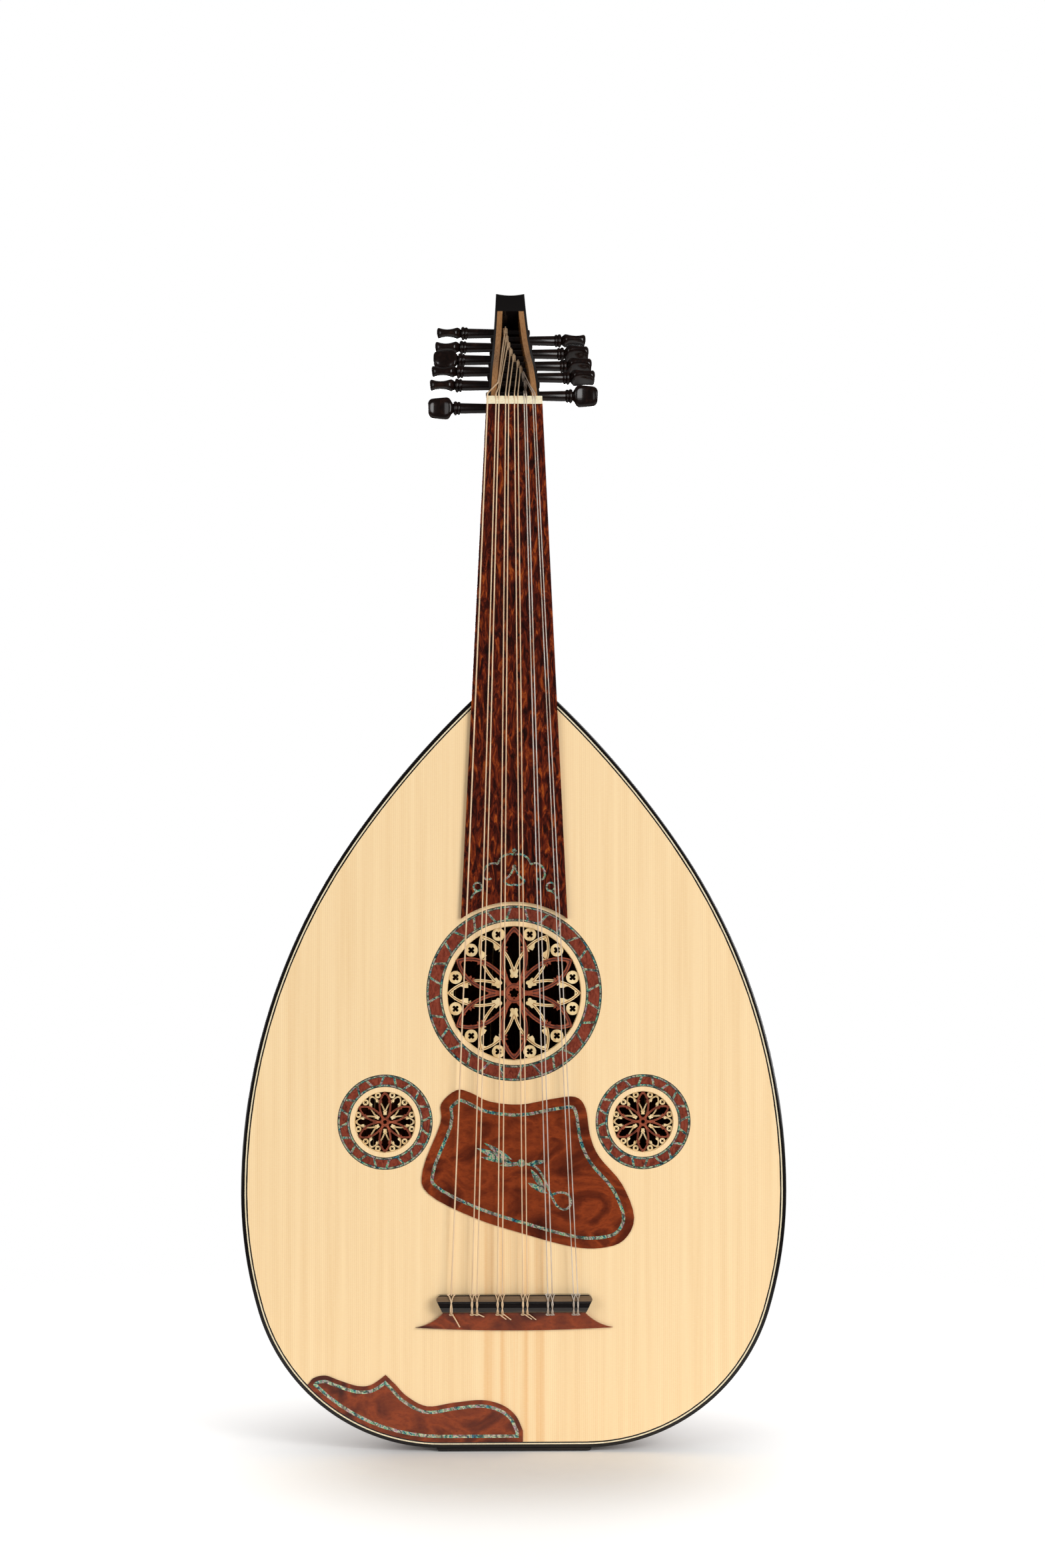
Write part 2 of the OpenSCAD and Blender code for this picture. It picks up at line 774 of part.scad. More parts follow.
// Pointed arch with scrolls, near the lower end of the fingerboard
module fingerboard_motif() {
  line = 1.3;
  translate([0, -293.5]) rotate(45) square(2.6, center = true);
  for (side = [0, 1]) mirror([side, 0]) {
    arc_line([0.5, -296], [10.8, -302.4], 2.6, line);
    arc_line([10.8, -302.4], [20, -308.6], 3.2, line);
    arc_line([20, -308.6], [15, -311.5], 2.4, line);
    arc_line([0.3, -303.5], [7, -313], -1.4, line);
    arc_line([7, -313], [0, -315.6], 1.6, line);
    translate([24, -317.2]) difference() {
      circle(r = 3.3);
      circle(r = 2.1);
    }
    arc_line([21.5, -319.5], [28.2, -325], 1.5, line);
  }
  translate([0, -304]) circle(r = 1.3);
}

module fingerboard_shell() {
  color(shell_colour) plate(-fingerboard_t, inlay_t) fingerboard_motif();
}

nut_height = 4.5;
module nut() {
  color(bone_colour) difference() {
    intersection() {
      plate(-nut_height, nut_height) neck_taper_outline(0, nut_length);
      side_profile(60) polygon([[0, 0], [-nut_height, 0], [-nut_height, 2.6], [-3.4, nut_length], [0, nut_length]]);
    }
    for (j = [0:peg_count - 1]) translate([string_nut_x[j], -nut_action, -1])
      cylinder(h = nut_length + 2, r = string_r[j] + 0.05, $fn = 24);
  }
}

// ---------------------------------------------------------------- pegbox

// Part of the pegbox side view between two tilts of the curved front edge
module bend_part(front_off, back_off) {
  clip = [front_0 - 6 * back_of(tilt_nut), front_0 + 46 * back_of(tilt_nut),
    joint_back + 12 * back_of(tilt_mid), joint_front - 6 * back_of(tilt_mid)];
  intersection() {
    difference() {
      translate(bend_c) circle(r = bend_r - front_off, $fn = 360);
      translate(heel_c) circle(r = heel_r + back_off, $fn = 360);
    }
    polygon(clip);
  }
}

module sweep_part(from, to, front_off, back_off) {
  a = from == 0 ? tilt_mid : tilt_at(from);
  b = tilt_at(to);
  near = sweep_c + (sweep_r - 12) * back_of(a);
  far = sweep_c + (sweep_r - 12) * back_of(b);
  intersection() {
    difference() {
      translate(belly_c) circle(r = belly_r - back_off, $fn = big_fn);
      translate(sweep_c) circle(r = sweep_r + front_off, $fn = big_fn);
    }
    polygon([near, near + 60 * back_of(a), far + 60 * back_of(b), far]);
  }
}

module box_profile(front_off, back_off, end = wall_end) {
  bend_part(front_off, back_off);
  sweep_part(0, end, front_off, back_off);
}

// Cuts a leaning wall off square at the head
module to_head() {
  foot = front_at(wall_end);
  edge = back_of(tilt_at(wall_end));
  intersection() {
    children();
    side_profile(60) polygon([foot - 20 * edge, foot + 60 * edge, [-20, -90], [-20, 100]]);
  }
}

// Swings a slab so that it closes towards the head on one side
module lean(side) {
  translate([0, front_0[0], front_0[1]])
    rotate(a = -side * wall_lean, v = [0, cos(lean_tilt), -sin(lean_tilt)])
      translate([0, -front_0[0], -front_0[1]]) children();
}

module lean_slab(side, from, width) {
  start = side > 0 ? from : -from - width;
  lean(side) translate([start, 0, 0]) rotate([90, 0, 90]) linear_extrude(width) children();
}

module peg_holes() {
  for (i = [0:peg_count - 1]) peg_place(i) peg_shaft(i, peg_fit);
}

module pegbox_wall(side) {
  skin = wall_t - edging_w;
  color(ebony_colour) difference() {
    to_head() union() {
      lean_slab(side, pegbox_half - skin, skin) box_profile(0, 0, wall_end + 3);
      lean_slab(side, pegbox_half - wall_t, edging_w) box_profile(edging_t, 0, wall_end + 3);
    }
    peg_holes();
  }
}

module pegbox_left_wall() {
  pegbox_wall(-1);
}

module pegbox_right_wall() {
  pegbox_wall(1);
}

module pegbox_edging() {
  color(maple_colour) for (side = [-1, 1]) to_head() lean_slab(side, pegbox_half - wall_t, edging_w) difference() {
    box_profile(0, 0, wall_end + 3);
    box_profile(edging_t, 0, wall_end + 3);
  }
}

// Floor between the walls
module pegbox_back() {
  inner = pegbox_half - wall_t;
  color(ebony_colour) intersection() {
    side_profile(40) difference() {
      box_profile(0, 0);
      box_profile(-9, floor_t);
    }
    lean_slab(1, inner - 60, 60) translate([-20, -60]) square([240, 200]);
    lean_slab(-1, inner - 60, 60) translate([-20, -60]) square([240, 200]);
  }
}

// Head block with a hollowed top edge
module pegbox_head() {
  saddle_r = 26;
  top = front_at(head_end);
  t = tilt_at(head_end);
  color(ebony_colour) difference() {
    intersection() {
      side_profile(60) sweep_part(wall_end, head_end, 0, 0);
      lean_slab(1, pegbox_half - 60, 60) translate([-20, -60]) square([240, 200]);
      lean_slab(-1, pegbox_half - 60, 60) translate([-20, -60]) square([240, 200]);
    }
    translate([0, top[0], top[1]]) rotate([-t, 0, 0]) translate([0, 0, saddle_r - 1.7]) rotate([90, 0, 0])
      cylinder(h = 80, r = saddle_r, center = true);
  }
}

// ---------------------------------------------------------------- pegs

// Stands a shape drawn along +Z on the axis of peg i, with +Z towards its knob
module peg_place(i) {
  p = peg_at(i);
  translate([0, p[0], p[1]]) rotate([0, peg_side(i) * 90, 0]) children();
}

module peg_shaft(i, extra) {
  half = half_at(peg_s(i));
  low = -half - peg_tip;
  high = half + peg_reach;
  translate([0, 0, low]) cylinder(h = high - low, r1 = peg_r + peg_cone * (low - half) + extra,
    r2 = peg_r + peg_cone * (high - half) + extra);
}

// Double-beaded collar
module peg_collar() {
  rotate_extrude() {
    translate([0, -0.6]) square([3.4, collar_length + 0.6]);
    translate([3.2, 1.25]) circle(r = 1.25, $fn = 32);
    translate([3.5, 3.5]) circle(r = 1.3, $fn = 32);
  }
}

// Thumb-piece: broad from the front, dished on both faces
module peg_knob() {
  dish_r = 15;
  intersection() {
    rotate([90, 0, 0]) linear_extrude(12, center = true) hull() {
      translate([-5, 4.2]) circle(r = 2.4, $fn = hull_fn);
      translate([5, 4.2]) circle(r = 2.4, $fn = hull_fn);
      translate([-4, knob_length - 2.6]) circle(r = 2.6, $fn = hull_fn);
      translate([4, knob_length - 2.6]) circle(r = 2.6, $fn = hull_fn);
      translate([-2.2, -2]) square([4.4, 1]);
    }
    rotate([90, 0, 90]) linear_extrude(20, center = true) difference() {
      translate([-4.3, -2.4]) square([8.6, knob_length + 3]);
      for (side = [-1, 1]) translate([side * (2.8 + dish_r), 9.8]) circle(r = dish_r);
    }
  }
}

// Knobs stand at different turns, as the strings' tuning leaves them
knob_turn = [0, 8, 90, 62, 84, 55, 20, 50, 88, 78, 90];

module peg(i) {
  color(walnut_colour) peg_place(i) {
    peg_shaft(i, 0);
    translate([0, 0, half_at(peg_s(i)) + peg_reach]) {
      peg_collar();
      translate([0, 0, collar_length]) rotate([0, 0, knob_turn[i]]) peg_knob();
    }
  }
}

module winding(i) {
  j = string_of[i];
  r = string_r[j];
  pitch = 2 * r * 0.97;
  color(string_colour) translate([0, peg_at(i)[0], peg_at(i)[1]]) rotate([0, 90, 0])
    translate([0, 0, winding_x[j]]) rotate_extrude()
      for (k = [0:winding_turns - 1])
        translate([winding_r(j) + r, (k - (winding_turns - 1) / 2) * pitch]) circle(r = r, $fn = 24);
}

// ---------------------------------------------------------------- strings

// Point where a line from s touches a circle of radius r round c, on its front side
function touch_point(s, c, r) =
  let (d = c - s, far = norm(d), a = asin(r / far), u = d / far,
    v = [cos(a) * u[0] - sin(a) * u[1], sin(a) * u[0] + cos(a) * u[1]])
  s + v * sqrt(far * far - r * r);

// Point where an outer string bends over the front edge of its wall
function wall_rest(j) =
  let (s = rest_s[j], side = string_nut_x[j] < 0 ? -1 : 1,
    yz = front_at(s) - (string_r[j] + rest_gap) * back_of(tilt_at(s)))
  [side * (half_at(s) - wall_t - string_r[j] - rest_in[j]), yz[0], yz[1]];

// Route of string j: from its tie over the bridge bar, back through the bar, over the nut
// and down to its peg, the outer strings by way of a wall
function string_path(j) =
  let (r = string_r[j], xb = string_bridge_x[j], xn = string_nut_x[j],
    low = -bridge_action + 1, top = -bar_height - r - 0.15, rear = bar_z - bar_length - r - 0.2,
    crown = [xn, -nut_action, nut_length + 1.5],
    bends = rest_s[j] > 0 ? [crown, wall_rest(j)] : [crown],
    leave = bends[len(bends) - 1],
    touch = touch_point([leave[1], leave[2]], peg_at(peg_of[j]), winding_r(j) + 3 * r + winding_gap))
  concat([
    [xb + 1.6, -bridge_action - 1.2, bar_z + 3.4],
    [xb + 0.8, top + 0.4, bar_z + 0.2],
    [xb, top, bar_z - 3],
    [xb, top, rear + 2.4],
    [xb, top + 1, rear + 0.6],
    [xb, low - 1.4, rear],
    [xb, low - 0.3, rear + 0.4],
    [xb, low, rear + 1.2],
    [xb, low, bar_z + 0.3],
    [xn, -nut_action, 0]
  ], bends, [[winding_x[j], touch[0], touch[1]]]);

function unit(v) = v / norm(v);

// Direction of a route at point k, half-way between its two legs
function tangent(path, k, last) = k == 0 ? unit(path[1] - path[0])
  : k == last ? unit(path[k] - path[k - 1])
  : unit(unit(path[k + 1] - path[k]) + unit(path[k] - path[k - 1]));

// Tube along a route, with one ring of corners at each point
module tube(path, r, sides = 8) {
  last = len(path) - 1;
  rings = [for (k = [0:last])
    let (t = tangent(path, k, last), u = unit([1, 0, 0] - t[0] * t), v = cross(t, u))
    for (m = [0:sides - 1]) path[k] + r * (cos(360 * m / sides) * u + sin(360 * m / sides) * v)];
  walls = [for (k = [0:last - 1], m = [0:sides - 1])
    let (n = (m + 1) % sides) [k * sides + m, k * sides + n, (k + 1) * sides + n, (k + 1) * sides + m]];
  ends = [[for (m = [sides - 1:-1:0]) m], [for (m = [0:sides - 1]) last * sides + m]];
  polyhedron(points = rings, faces = concat([for (w = walls) reversed(w)], [reversed(ends[0]), reversed(ends[1])]));
}

module string_course(k) {
  color(string_colour) for (j = courses[k]) tube(string_path(j), string_r[j]);
}

// ---------------------------------------------------------------- assembly

soundboard_left();
soundboard_right();
soundboard_braces();
binding();
purfling();
bowl_ribs();
rib_stringing();
neck_block();
tail_block();
tail_clasp();
main_rose_top();
main_rose_under();
small_roses_top();
small_roses_under();
rosette_rings();
rosette_shell();
pickguard();
corner_guard();
guard_shell();
bridge_bar();
bridge_base();
neck();
fingerboard();
fingerboard_shell();
nut();
pegbox_left_wall();
pegbox_right_wall();
pegbox_back();
pegbox_head();
pegbox_edging();
string_course(0);  // string_course_1
string_course(1);  // string_course_2
string_course(2);  // string_course_3
string_course(3);  // string_course_4
string_course(4);  // string_course_5
string_course(5);  // string_course_6
peg(0);  // peg_1
peg(1);  // peg_2
peg(2);  // peg_3
peg(3);  // peg_4
peg(4);  // peg_5
peg(5);  // peg_6
peg(6);  // peg_7
peg(7);  // peg_8
peg(8);  // peg_9
peg(9);  // peg_10
peg(10);  // peg_11
winding(0);  // winding_1
winding(1);  // winding_2
winding(2);  // winding_3
winding(3);  // winding_4
winding(4);  // winding_5
winding(5);  // winding_6
winding(6);  // winding_7
winding(7);  // winding_8
winding(8);  // winding_9
winding(9);  // winding_10
winding(10);  // winding_11
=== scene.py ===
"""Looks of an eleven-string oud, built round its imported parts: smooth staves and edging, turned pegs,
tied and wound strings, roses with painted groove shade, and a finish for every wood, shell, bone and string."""

import math

import bpy
from bpy.props import FloatProperty, FloatVectorProperty, IntProperty, PointerProperty
from mathutils import Matrix, Vector


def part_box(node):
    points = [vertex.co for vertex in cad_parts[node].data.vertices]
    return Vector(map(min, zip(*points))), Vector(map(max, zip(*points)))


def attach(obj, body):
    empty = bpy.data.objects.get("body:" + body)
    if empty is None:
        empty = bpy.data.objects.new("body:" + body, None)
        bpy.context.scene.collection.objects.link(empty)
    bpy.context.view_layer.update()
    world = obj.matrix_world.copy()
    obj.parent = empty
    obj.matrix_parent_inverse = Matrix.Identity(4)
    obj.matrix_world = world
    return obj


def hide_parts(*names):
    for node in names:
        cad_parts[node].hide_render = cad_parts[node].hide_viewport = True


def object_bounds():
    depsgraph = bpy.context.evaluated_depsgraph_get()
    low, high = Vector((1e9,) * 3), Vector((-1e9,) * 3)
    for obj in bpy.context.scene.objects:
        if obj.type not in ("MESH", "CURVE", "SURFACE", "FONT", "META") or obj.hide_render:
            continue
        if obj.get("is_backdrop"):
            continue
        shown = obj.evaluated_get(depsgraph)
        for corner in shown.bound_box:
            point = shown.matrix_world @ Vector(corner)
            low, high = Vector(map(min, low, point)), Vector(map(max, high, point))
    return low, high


bl_info = {
    "name": "Oud workshop",
    "version": (1, 0, 0),
    "blender": (4, 5, 0),
    "location": "View3D > Sidebar > Oud",
    "description": "Staves, pegs, strings, engraving, finishes and stage of an oud",
    "category": "Object",
}

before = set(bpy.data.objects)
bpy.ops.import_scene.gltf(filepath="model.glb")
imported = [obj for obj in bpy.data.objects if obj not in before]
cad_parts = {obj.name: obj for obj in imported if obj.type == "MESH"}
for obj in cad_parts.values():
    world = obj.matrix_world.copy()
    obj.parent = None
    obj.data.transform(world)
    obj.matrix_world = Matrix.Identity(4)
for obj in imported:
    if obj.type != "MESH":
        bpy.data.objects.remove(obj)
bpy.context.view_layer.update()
MM = 0.001

# ------------------------------------------------------------------ sizes of the instrument, mm

NECK_LENGTH = 195.0
BODY_HALF = 179.5
WIDE_Z = -518.0
SIDE_R, SIDE_TURN = 404.0, 34.8
SHOULDER_R = 613.0
HIP_R, HIP_TURN = 277.0, 16.45
CORNER_R = 125.6
BOARD_T = 2.0

RIB_COUNT = 19
RIB_INSET, RIB_T = 0.6, 2.8
STRIP_T = 0.8
RIB_POLE, STRIP_POLE = 8.0, 14.0

MAIN_ROSE = (0.0, -387.3, 1.0)
SMALL_X, SMALL_Z, SMALL_SCALE = 84.9, -472.0, 20.15 / 44.3
ROSES = (MAIN_ROSE, (-SMALL_X, SMALL_Z, SMALL_SCALE), (SMALL_X, SMALL_Z, SMALL_SCALE))
RINGS = ((47.7, 57.4), (23.6, 30.9), (23.6, 30.9))
FRET_FRONT, FRET_T = 0.5, 1.2

PEG_COUNT = 11
PEG_START, PEG_PITCH = 11.4, 14.0
PEGBOX_HALF, WALL_LEAN = 16.9, 2.2
PEG_R, PEG_CONE = 3.2, 0.02
PEG_TIP, PEG_REACH = 2.5, 18.6
COLLAR_LENGTH = 4.8
KNOB_TURN = (0, 8, 90, 62, 84, 55, 20, 50, 88, 78, 90)

STRING_NUT_X = (-17.6, -12, -10.1, -5.7, -3.7, 0.1, 2.4, 6.5, 8, 12.2, 13.7)
STRING_BRIDGE_X = (-41.4, -27.8, -24.5, -11, -7.9, 5.6, 8.5, 22, 24.9, 38.9, 41.7)
STRING_R = (0.5, 0.42, 0.42, 0.4, 0.4, 0.36, 0.36, 0.38, 0.38, 0.34, 0.34)
WOUND_STRINGS = 7
# The peg each string winds on, from the bass side
PEG_OF = (10, 9, 8, 7, 6, 5, 4, 0, 1, 2, 3)
NUT_Y, NUT_LENGTH = -4.2, 5.3
# Beyond the nut the strings bend down; the outer ones lean on a pegbox wall, at a length along its front
# edge and a gap inside it
CROWN_Z = NUT_LENGTH + 1.5
WALL_REST = {0: (16, 0.15), 1: (9, 0.65), 9: (8, 0.15), 10: (12, 0.15)}
WALL_T, TILT_NUT, BEND_R = 5.2, 49.0, 155.0
HOLE_Y, BAR_Z, BAR_LENGTH = -6.0, -585.0, 11.9
# Space between a string and what it bends round, the length over which a bend is eased, the spinning of
# the wound strings, and how much thinner the twisted ties are
STRING_GAP, BEND_REACH, SPINNING_PITCH, TIE_SHARE = 0.25, 1.2, 0.9, 0.86

# Edge strips: how far in the eased corner, the seat, the black band, the light line and the inner band end
EASE, SEAT_IN, BAND_IN, LINE_IN, INNER_IN = 0.7, 1.6, 2.4, 3.25, 4.1
EDGE_DEPTH, PROUD = 1.2, -0.01

# Petal strands: half width, height of the widest place, upper and lower radius, and foot
UPPER_PETAL, LOWER_PETAL = (7.9, 24.5, 24.6, 38, 11), (8.2, 23.5, 27.2, 44, 12.5)
# Widths of the painted groove shade along the upper and lower strands and round the hub, and the hub's radius
UPPER_GROOVE_SHADE, LOWER_GROOVE_SHADE, HUB_GROOVE_SHADE, HUB_R = 0.62, 0.5, 0.4, 5.6

KNOB_LENGTH = 17.0
# Beads of a peg's collar, as height, radius of the bead's centre and its own, then the last two radii
COLLAR_BEADS = ((1.3, 3.2, 1.25), (3.55, 3.5, 1.3))
COLLAR_END = ((4.9, 3.2), (5.4, 2.4))

# ------------------------------------------------------------------ stage, m

FLOOR_R, FLOOR_SIDES, FLOOR_DROP = 0.9, 96, 0.0005
# Each light's place, its target, and its width and height
KEY_LAMP = ((1.7, -2.1, 0.35), (0, 0, -0.3), (1.3, 1.9))
FILL_LAMP = ((-1.9, -1.9, 0.1), (0, 0, -0.3), (1.5, 1.9))
BACK_LAMP = ((0.0, 1.9, -0.15), (0, 0, -0.5), (2.2, 0.8))
BACK_SHARE, SKY_IN_POLISH = 2.2, 0.2
# Height of the view at the soundboard, the sensor in mm, and the places of camera and target
VIEW_HEIGHT, SENSOR = 1.0313, 36
CAMERA_X, AIM_X, VIEW_Z = -0.04, 0.0055, -0.2497


# ------------------------------------------------------------------ colours and nodes


def linear(code):
    """Linear RGBA of an sRGB hex colour; a colour that is RGBA already stays."""
    if not isinstance(code, str):
        return code
    parts = [int(code[i:i + 2], 16) / 255 for i in (1, 3, 5)]
    return tuple(c / 12.92 if c <= 0.04045 else ((c + 0.055) / 1.055) ** 2.4 for c in parts) + (1.0,)


def add(tree, kind, inputs=None, stops=None, **settings):
    """Adds a node with its settings. Inputs are values, or (node, output) pairs that feed the socket."""
    made = tree.nodes.new(kind)
    for key, value in settings.items():
        setattr(made, key, value)
    if stops:
        ramp = made.color_ramp.elements
        ramp[0].position, ramp[0].color = stops[0][0], linear(stops[0][1])
        ramp[1].position, ramp[1].color = stops[-1][0], linear(stops[-1][1])
        for place, colour in stops[1:-1]:
            ramp.new(place).color = linear(colour)
    for socket, value in (inputs or {}).items():
        if isinstance(value, tuple) and isinstance(value[0], bpy.types.Node):
            tree.links.new(value[0].outputs[value[1]], made.inputs[socket])
        else:
            made.inputs[socket].default_value = value
    return made


def socket_name(key):
    """Name of a shader socket, from its keyword."""
    return key.replace("_", " ").title().replace("Ior", "IOR")


def start_material(name, **shader_inputs):
    """A material with one shader, whose constant values are set on its own sockets."""
    material = bpy.data.materials.new(name)
    material.use_nodes = True
    tree = material.node_tree
    tree.nodes.clear()
    named = {socket_name(key): value for key, value in shader_inputs.items()}
    shader = add(tree, "ShaderNodeBsdfPrincipled", named)
    add(tree, "ShaderNodeOutputMaterial", {"Surface": (shader, "BSDF")})
    return material, tree, shader


def feed(tree, shader, **sources):
    """Links (node, output) pairs to the shader's sockets."""
    for key, (source, output) in sources.items():
        tree.links.new(source.outputs[output], shader.inputs[socket_name(key)])


def place_parts(tree):
    """X, Y and Z of a place in the object's own frame."""
    return add(tree, "ShaderNodeSeparateXYZ", {"Vector": (add(tree, "ShaderNodeTexCoord"), "Object")})


def grain_place(tree, across_mm, deep_mm, along_mm, mirrored=False):
    """Position in the object's own frame, so that one unit is the given length along X, Y and Z."""
    place = add(tree, "ShaderNodeTexCoord")
    source = (place, "Object")
    if mirrored:
        parts = add(tree, "ShaderNodeSeparateXYZ", {"Vector": source})
        across = add(tree, "ShaderNodeMath", {0: (parts, "X")}, operation="ABSOLUTE")
        joined = add(tree, "ShaderNodeCombineXYZ", {"X": (across, 0), "Y": (parts, "Y"), "Z": (parts, "Z")})
        source = (joined, 0)
    scale = (1 / (across_mm * MM), 1 / (deep_mm * MM), 1 / (along_mm * MM))
    return add(tree, "ShaderNodeMapping", {"Vector": source, "Scale": scale})


def noise(tree, size_mm, mirrored=False, **settings):
    """Noise with features of about the given size along X, Y and Z."""
    return add(tree, "ShaderNodeTexNoise", {
        "Vector": (grain_place(tree, *size_mm, mirrored), 0), "Scale": 1.0,
        **{key.title(): value for key, value in settings.items()}})


def spread(tree, source, start, end, low=0.0, high=1.0, **settings):
    """Maps a (node, output) value from start..end to low..high."""
    return add(tree, "ShaderNodeMapRange", {
        "Value": source, "From Min": start, "From Max": end, "To Min": low, "To Max": high}, **settings)


def hues_of(tree, source, stops):
    """Colours of a (node, output) value between the given stops."""
    return add(tree, "ShaderNodeValToRGB", {"Fac": source}, stops=stops)


def mixed(tree, share, first, second):
    """Blend of two colours. It takes them at sockets 6 and 7, and gives the result at output 2."""
    return add(tree, "ShaderNodeMix", {"Factor": (share, 0), 6: first, 7: second}, data_type="RGBA")


def times(tree, first, second):
    """Product of two (node, output) values."""
    return add(tree, "ShaderNodeMath", {0: first, 1: second}, operation="MULTIPLY")


def scaled(colour, factor):
    """Colour with its red, green and blue multiplied by a factor."""
    return tuple(c * factor for c in colour[:3]) + (1.0,)


# A wave texture turns through one full period in this much of its own coordinate at scale 1
WAVE_PERIOD = 2 * math.pi / 20


def satin_spruce(name, light, dark, warm):
    """Quartersawn spruce, planed and thinly finished."""
    # Fine upright growth lines, book-matched about the seam, pale cross flecks of the rays with a painted
    # sheen, and warm stripes by the seam
    material, tree, shader = start_material(name, roughness=0.42, coat_weight=0.25, coat_roughness=0.3)
    lines = add(tree, "ShaderNodeTexWave", {
        "Vector": (grain_place(tree, 1.35, 1.35, 90, True), 0), "Scale": WAVE_PERIOD,
        "Distortion": 2.4, "Detail": 3.0, "Detail Scale": 0.7},
        wave_profile="SAW", bands_direction="X")
    streaks = noise(tree, (5, 5, 260), True, detail=5.0, roughness=0.6)
    sheen_flecks = noise(tree, (2.6, 2.6, 0.7), detail=2.0)
    stripe = noise(tree, (9, 9, 900), True, detail=3.0)
    parts = place_parts(tree)
    across = add(tree, "ShaderNodeMath", {0: (parts, "X")}, operation="ABSOLUTE")
    near_seam = spread(tree, (across, 0), 0.0, 45 * MM, 1.0, 0.0)
    low_down = spread(tree, (parts, "Z"), -0.56, -0.48, 1.0, 0.25)
    stripes = spread(tree, (stripe, 0), 0.48, 0.64, 0.0, 0.75)
    seam_share = times(tree, (near_seam, 0), (low_down, 0))
    share = times(tree, (seam_share, 0), (stripes, 0))
    line_share = spread(tree, (lines, "Fac"), 0.35, 1.0, 0.0, 0.34)
    base = mixed(tree, line_share, light, dark)
    streak_share = spread(tree, (streaks, 0), 0.35, 0.7, 0.0, 0.42)
    streaked = mixed(tree, streak_share, (base, 2), dark)
    warmed = mixed(tree, share, (streaked, 2), warm)
    # Pale cross flecks of the rays, lighter partly in their own colour and partly as a painted sheen
    painted_sheen_share = spread(tree, (sheen_flecks, 0), 0.45, 0.75, 0.0, 0.10)
    with_painted_sheen = mixed(tree, painted_sheen_share, (warmed, 2), linear("#fff0d0"))
    ridge = add(tree, "ShaderNodeBump", {"Height": (lines, "Fac"), "Strength": 0.06, "Distance": 0.05 * MM})
    feed(tree, shader, base_color=(with_painted_sheen, 2), normal=(ridge, 0))
    return material


def gloss_wood(name, colours, grain, roughness=0.22, coat=0.4, wander=3.0, bump=0.04, pores=0.35):
    """Figured wood, sanded, filled and polished."""
    # Streaks run along the grain between the given colours, with dark pores under a clear polish
    material, tree, shader = start_material(name, roughness=roughness, coat_weight=coat, coat_roughness=0.06,
                                            specular_ior_level=0.3)
    across, deep, along = grain
    figure = noise(tree, (across, deep, along), detail=7.0, roughness=0.62, distortion=wander)
    hues = hues_of(tree, (figure, 0), colours)
    pore = noise(tree, (across * 0.16, deep * 0.16, along * 0.2), detail=3.0)
    pore_share = spread(tree, (pore, 0), 0.56, 0.72, 0.0, pores)
    shade = mixed(tree, pore_share, (hues, 0), linear(colours[0][1]))
    relief = add(tree, "ShaderNodeBump", {"Height": (pore, 0), "Strength": bump, "Distance": 0.05 * MM})
    feed(tree, shader, base_color=(shade, 2), normal=(relief, 0))
    return material


def polished_burl(name, dark, mid, bright):
    """Burl veneer, knotty and dark, under a hard polish."""
    # Cloudy patches about 20 mm wide that fold into one another, with fine dark eyes and ripples
    material, tree, shader = start_material(name, roughness=0.2, coat_weight=0.35, coat_roughness=0.05,
                                            specular_ior_level=0.25)
    clouds = noise(tree, (34, 34, 24), detail=5.0, roughness=0.5, distortion=1.0)
    hues = hues_of(tree, (clouds, 0), [
        (0.3, dark), (0.42, mid), (0.54, bright), (0.62, mid), (0.75, dark)])
    ripples = noise(tree, (3.2, 3.2, 1.5), detail=4.0, distortion=0.8)
    ripple_share = spread(tree, (ripples, 0), 0.48, 0.75, 0.0, 0.4)
    shade = mixed(tree, ripple_share, (hues, 0), dark)
    feed(tree, shader, base_color=(shade, 2))
    return material


def polished_shell(name):
    """Abalone shell, cut thin, laid in and polished flat."""
    # Pools of green, blue and rose a few millimetres wide, cut by thin dark growth lines, very shiny
    material, tree, shader = start_material(name, roughness=0.16, coat_weight=0.3, coat_roughness=0.04,
                                            ior=1.6, metallic=0.25)
    pools = noise(tree, (3.0, 3.0, 3.0), detail=3.0, distortion=1.2)
    hues = hues_of(tree, (pools, 0), [
        (0.3, "#1f2a30"), (0.38, "#3c7f96"), (0.44, "#57a878"),
        (0.49, "#d9dcae"), (0.54, "#b9789c"), (0.59, "#4a8f6c"),
        (0.65, "#a89878"), (0.72, "#2a3230")])
    lines = add(tree, "ShaderNodeTexWave", {
        "Vector": (grain_place(tree, 3.6, 3.6, 3.6), 0), "Scale": WAVE_PERIOD, "Distortion": 14.0,
        "Detail": 3.0, "Detail Scale": 1.0}, bands_direction="DIAGONAL")
    line_share = spread(tree, (lines, "Fac"), 0.0, 0.35, 0.85, 0.0)
    shade = mixed(tree, line_share, (hues, 0), linear("#2a2f2d"))
    feed(tree, shader, base_color=(shade, 2))
    return material


def polished_bone(name):
    """Cattle bone, filed and polished."""
    # Warm off-white with faint upright pores and a soft waxy shine
    material, tree, shader = start_material(name, roughness=0.3, ior=1.54, subsurface_weight=0.08,
                                            subsurface_scale=0.002)
    pores = noise(tree, (2.2, 0.5, 0.5), detail=3.0)
    hues = hues_of(tree, (pores, 0), [
        (0.3, "#f3e8cb"), (0.6, "#eadbb5"), (0.75, "#d3bd8c")])
    feed(tree, shader, base_color=(hues, 0))
    return material


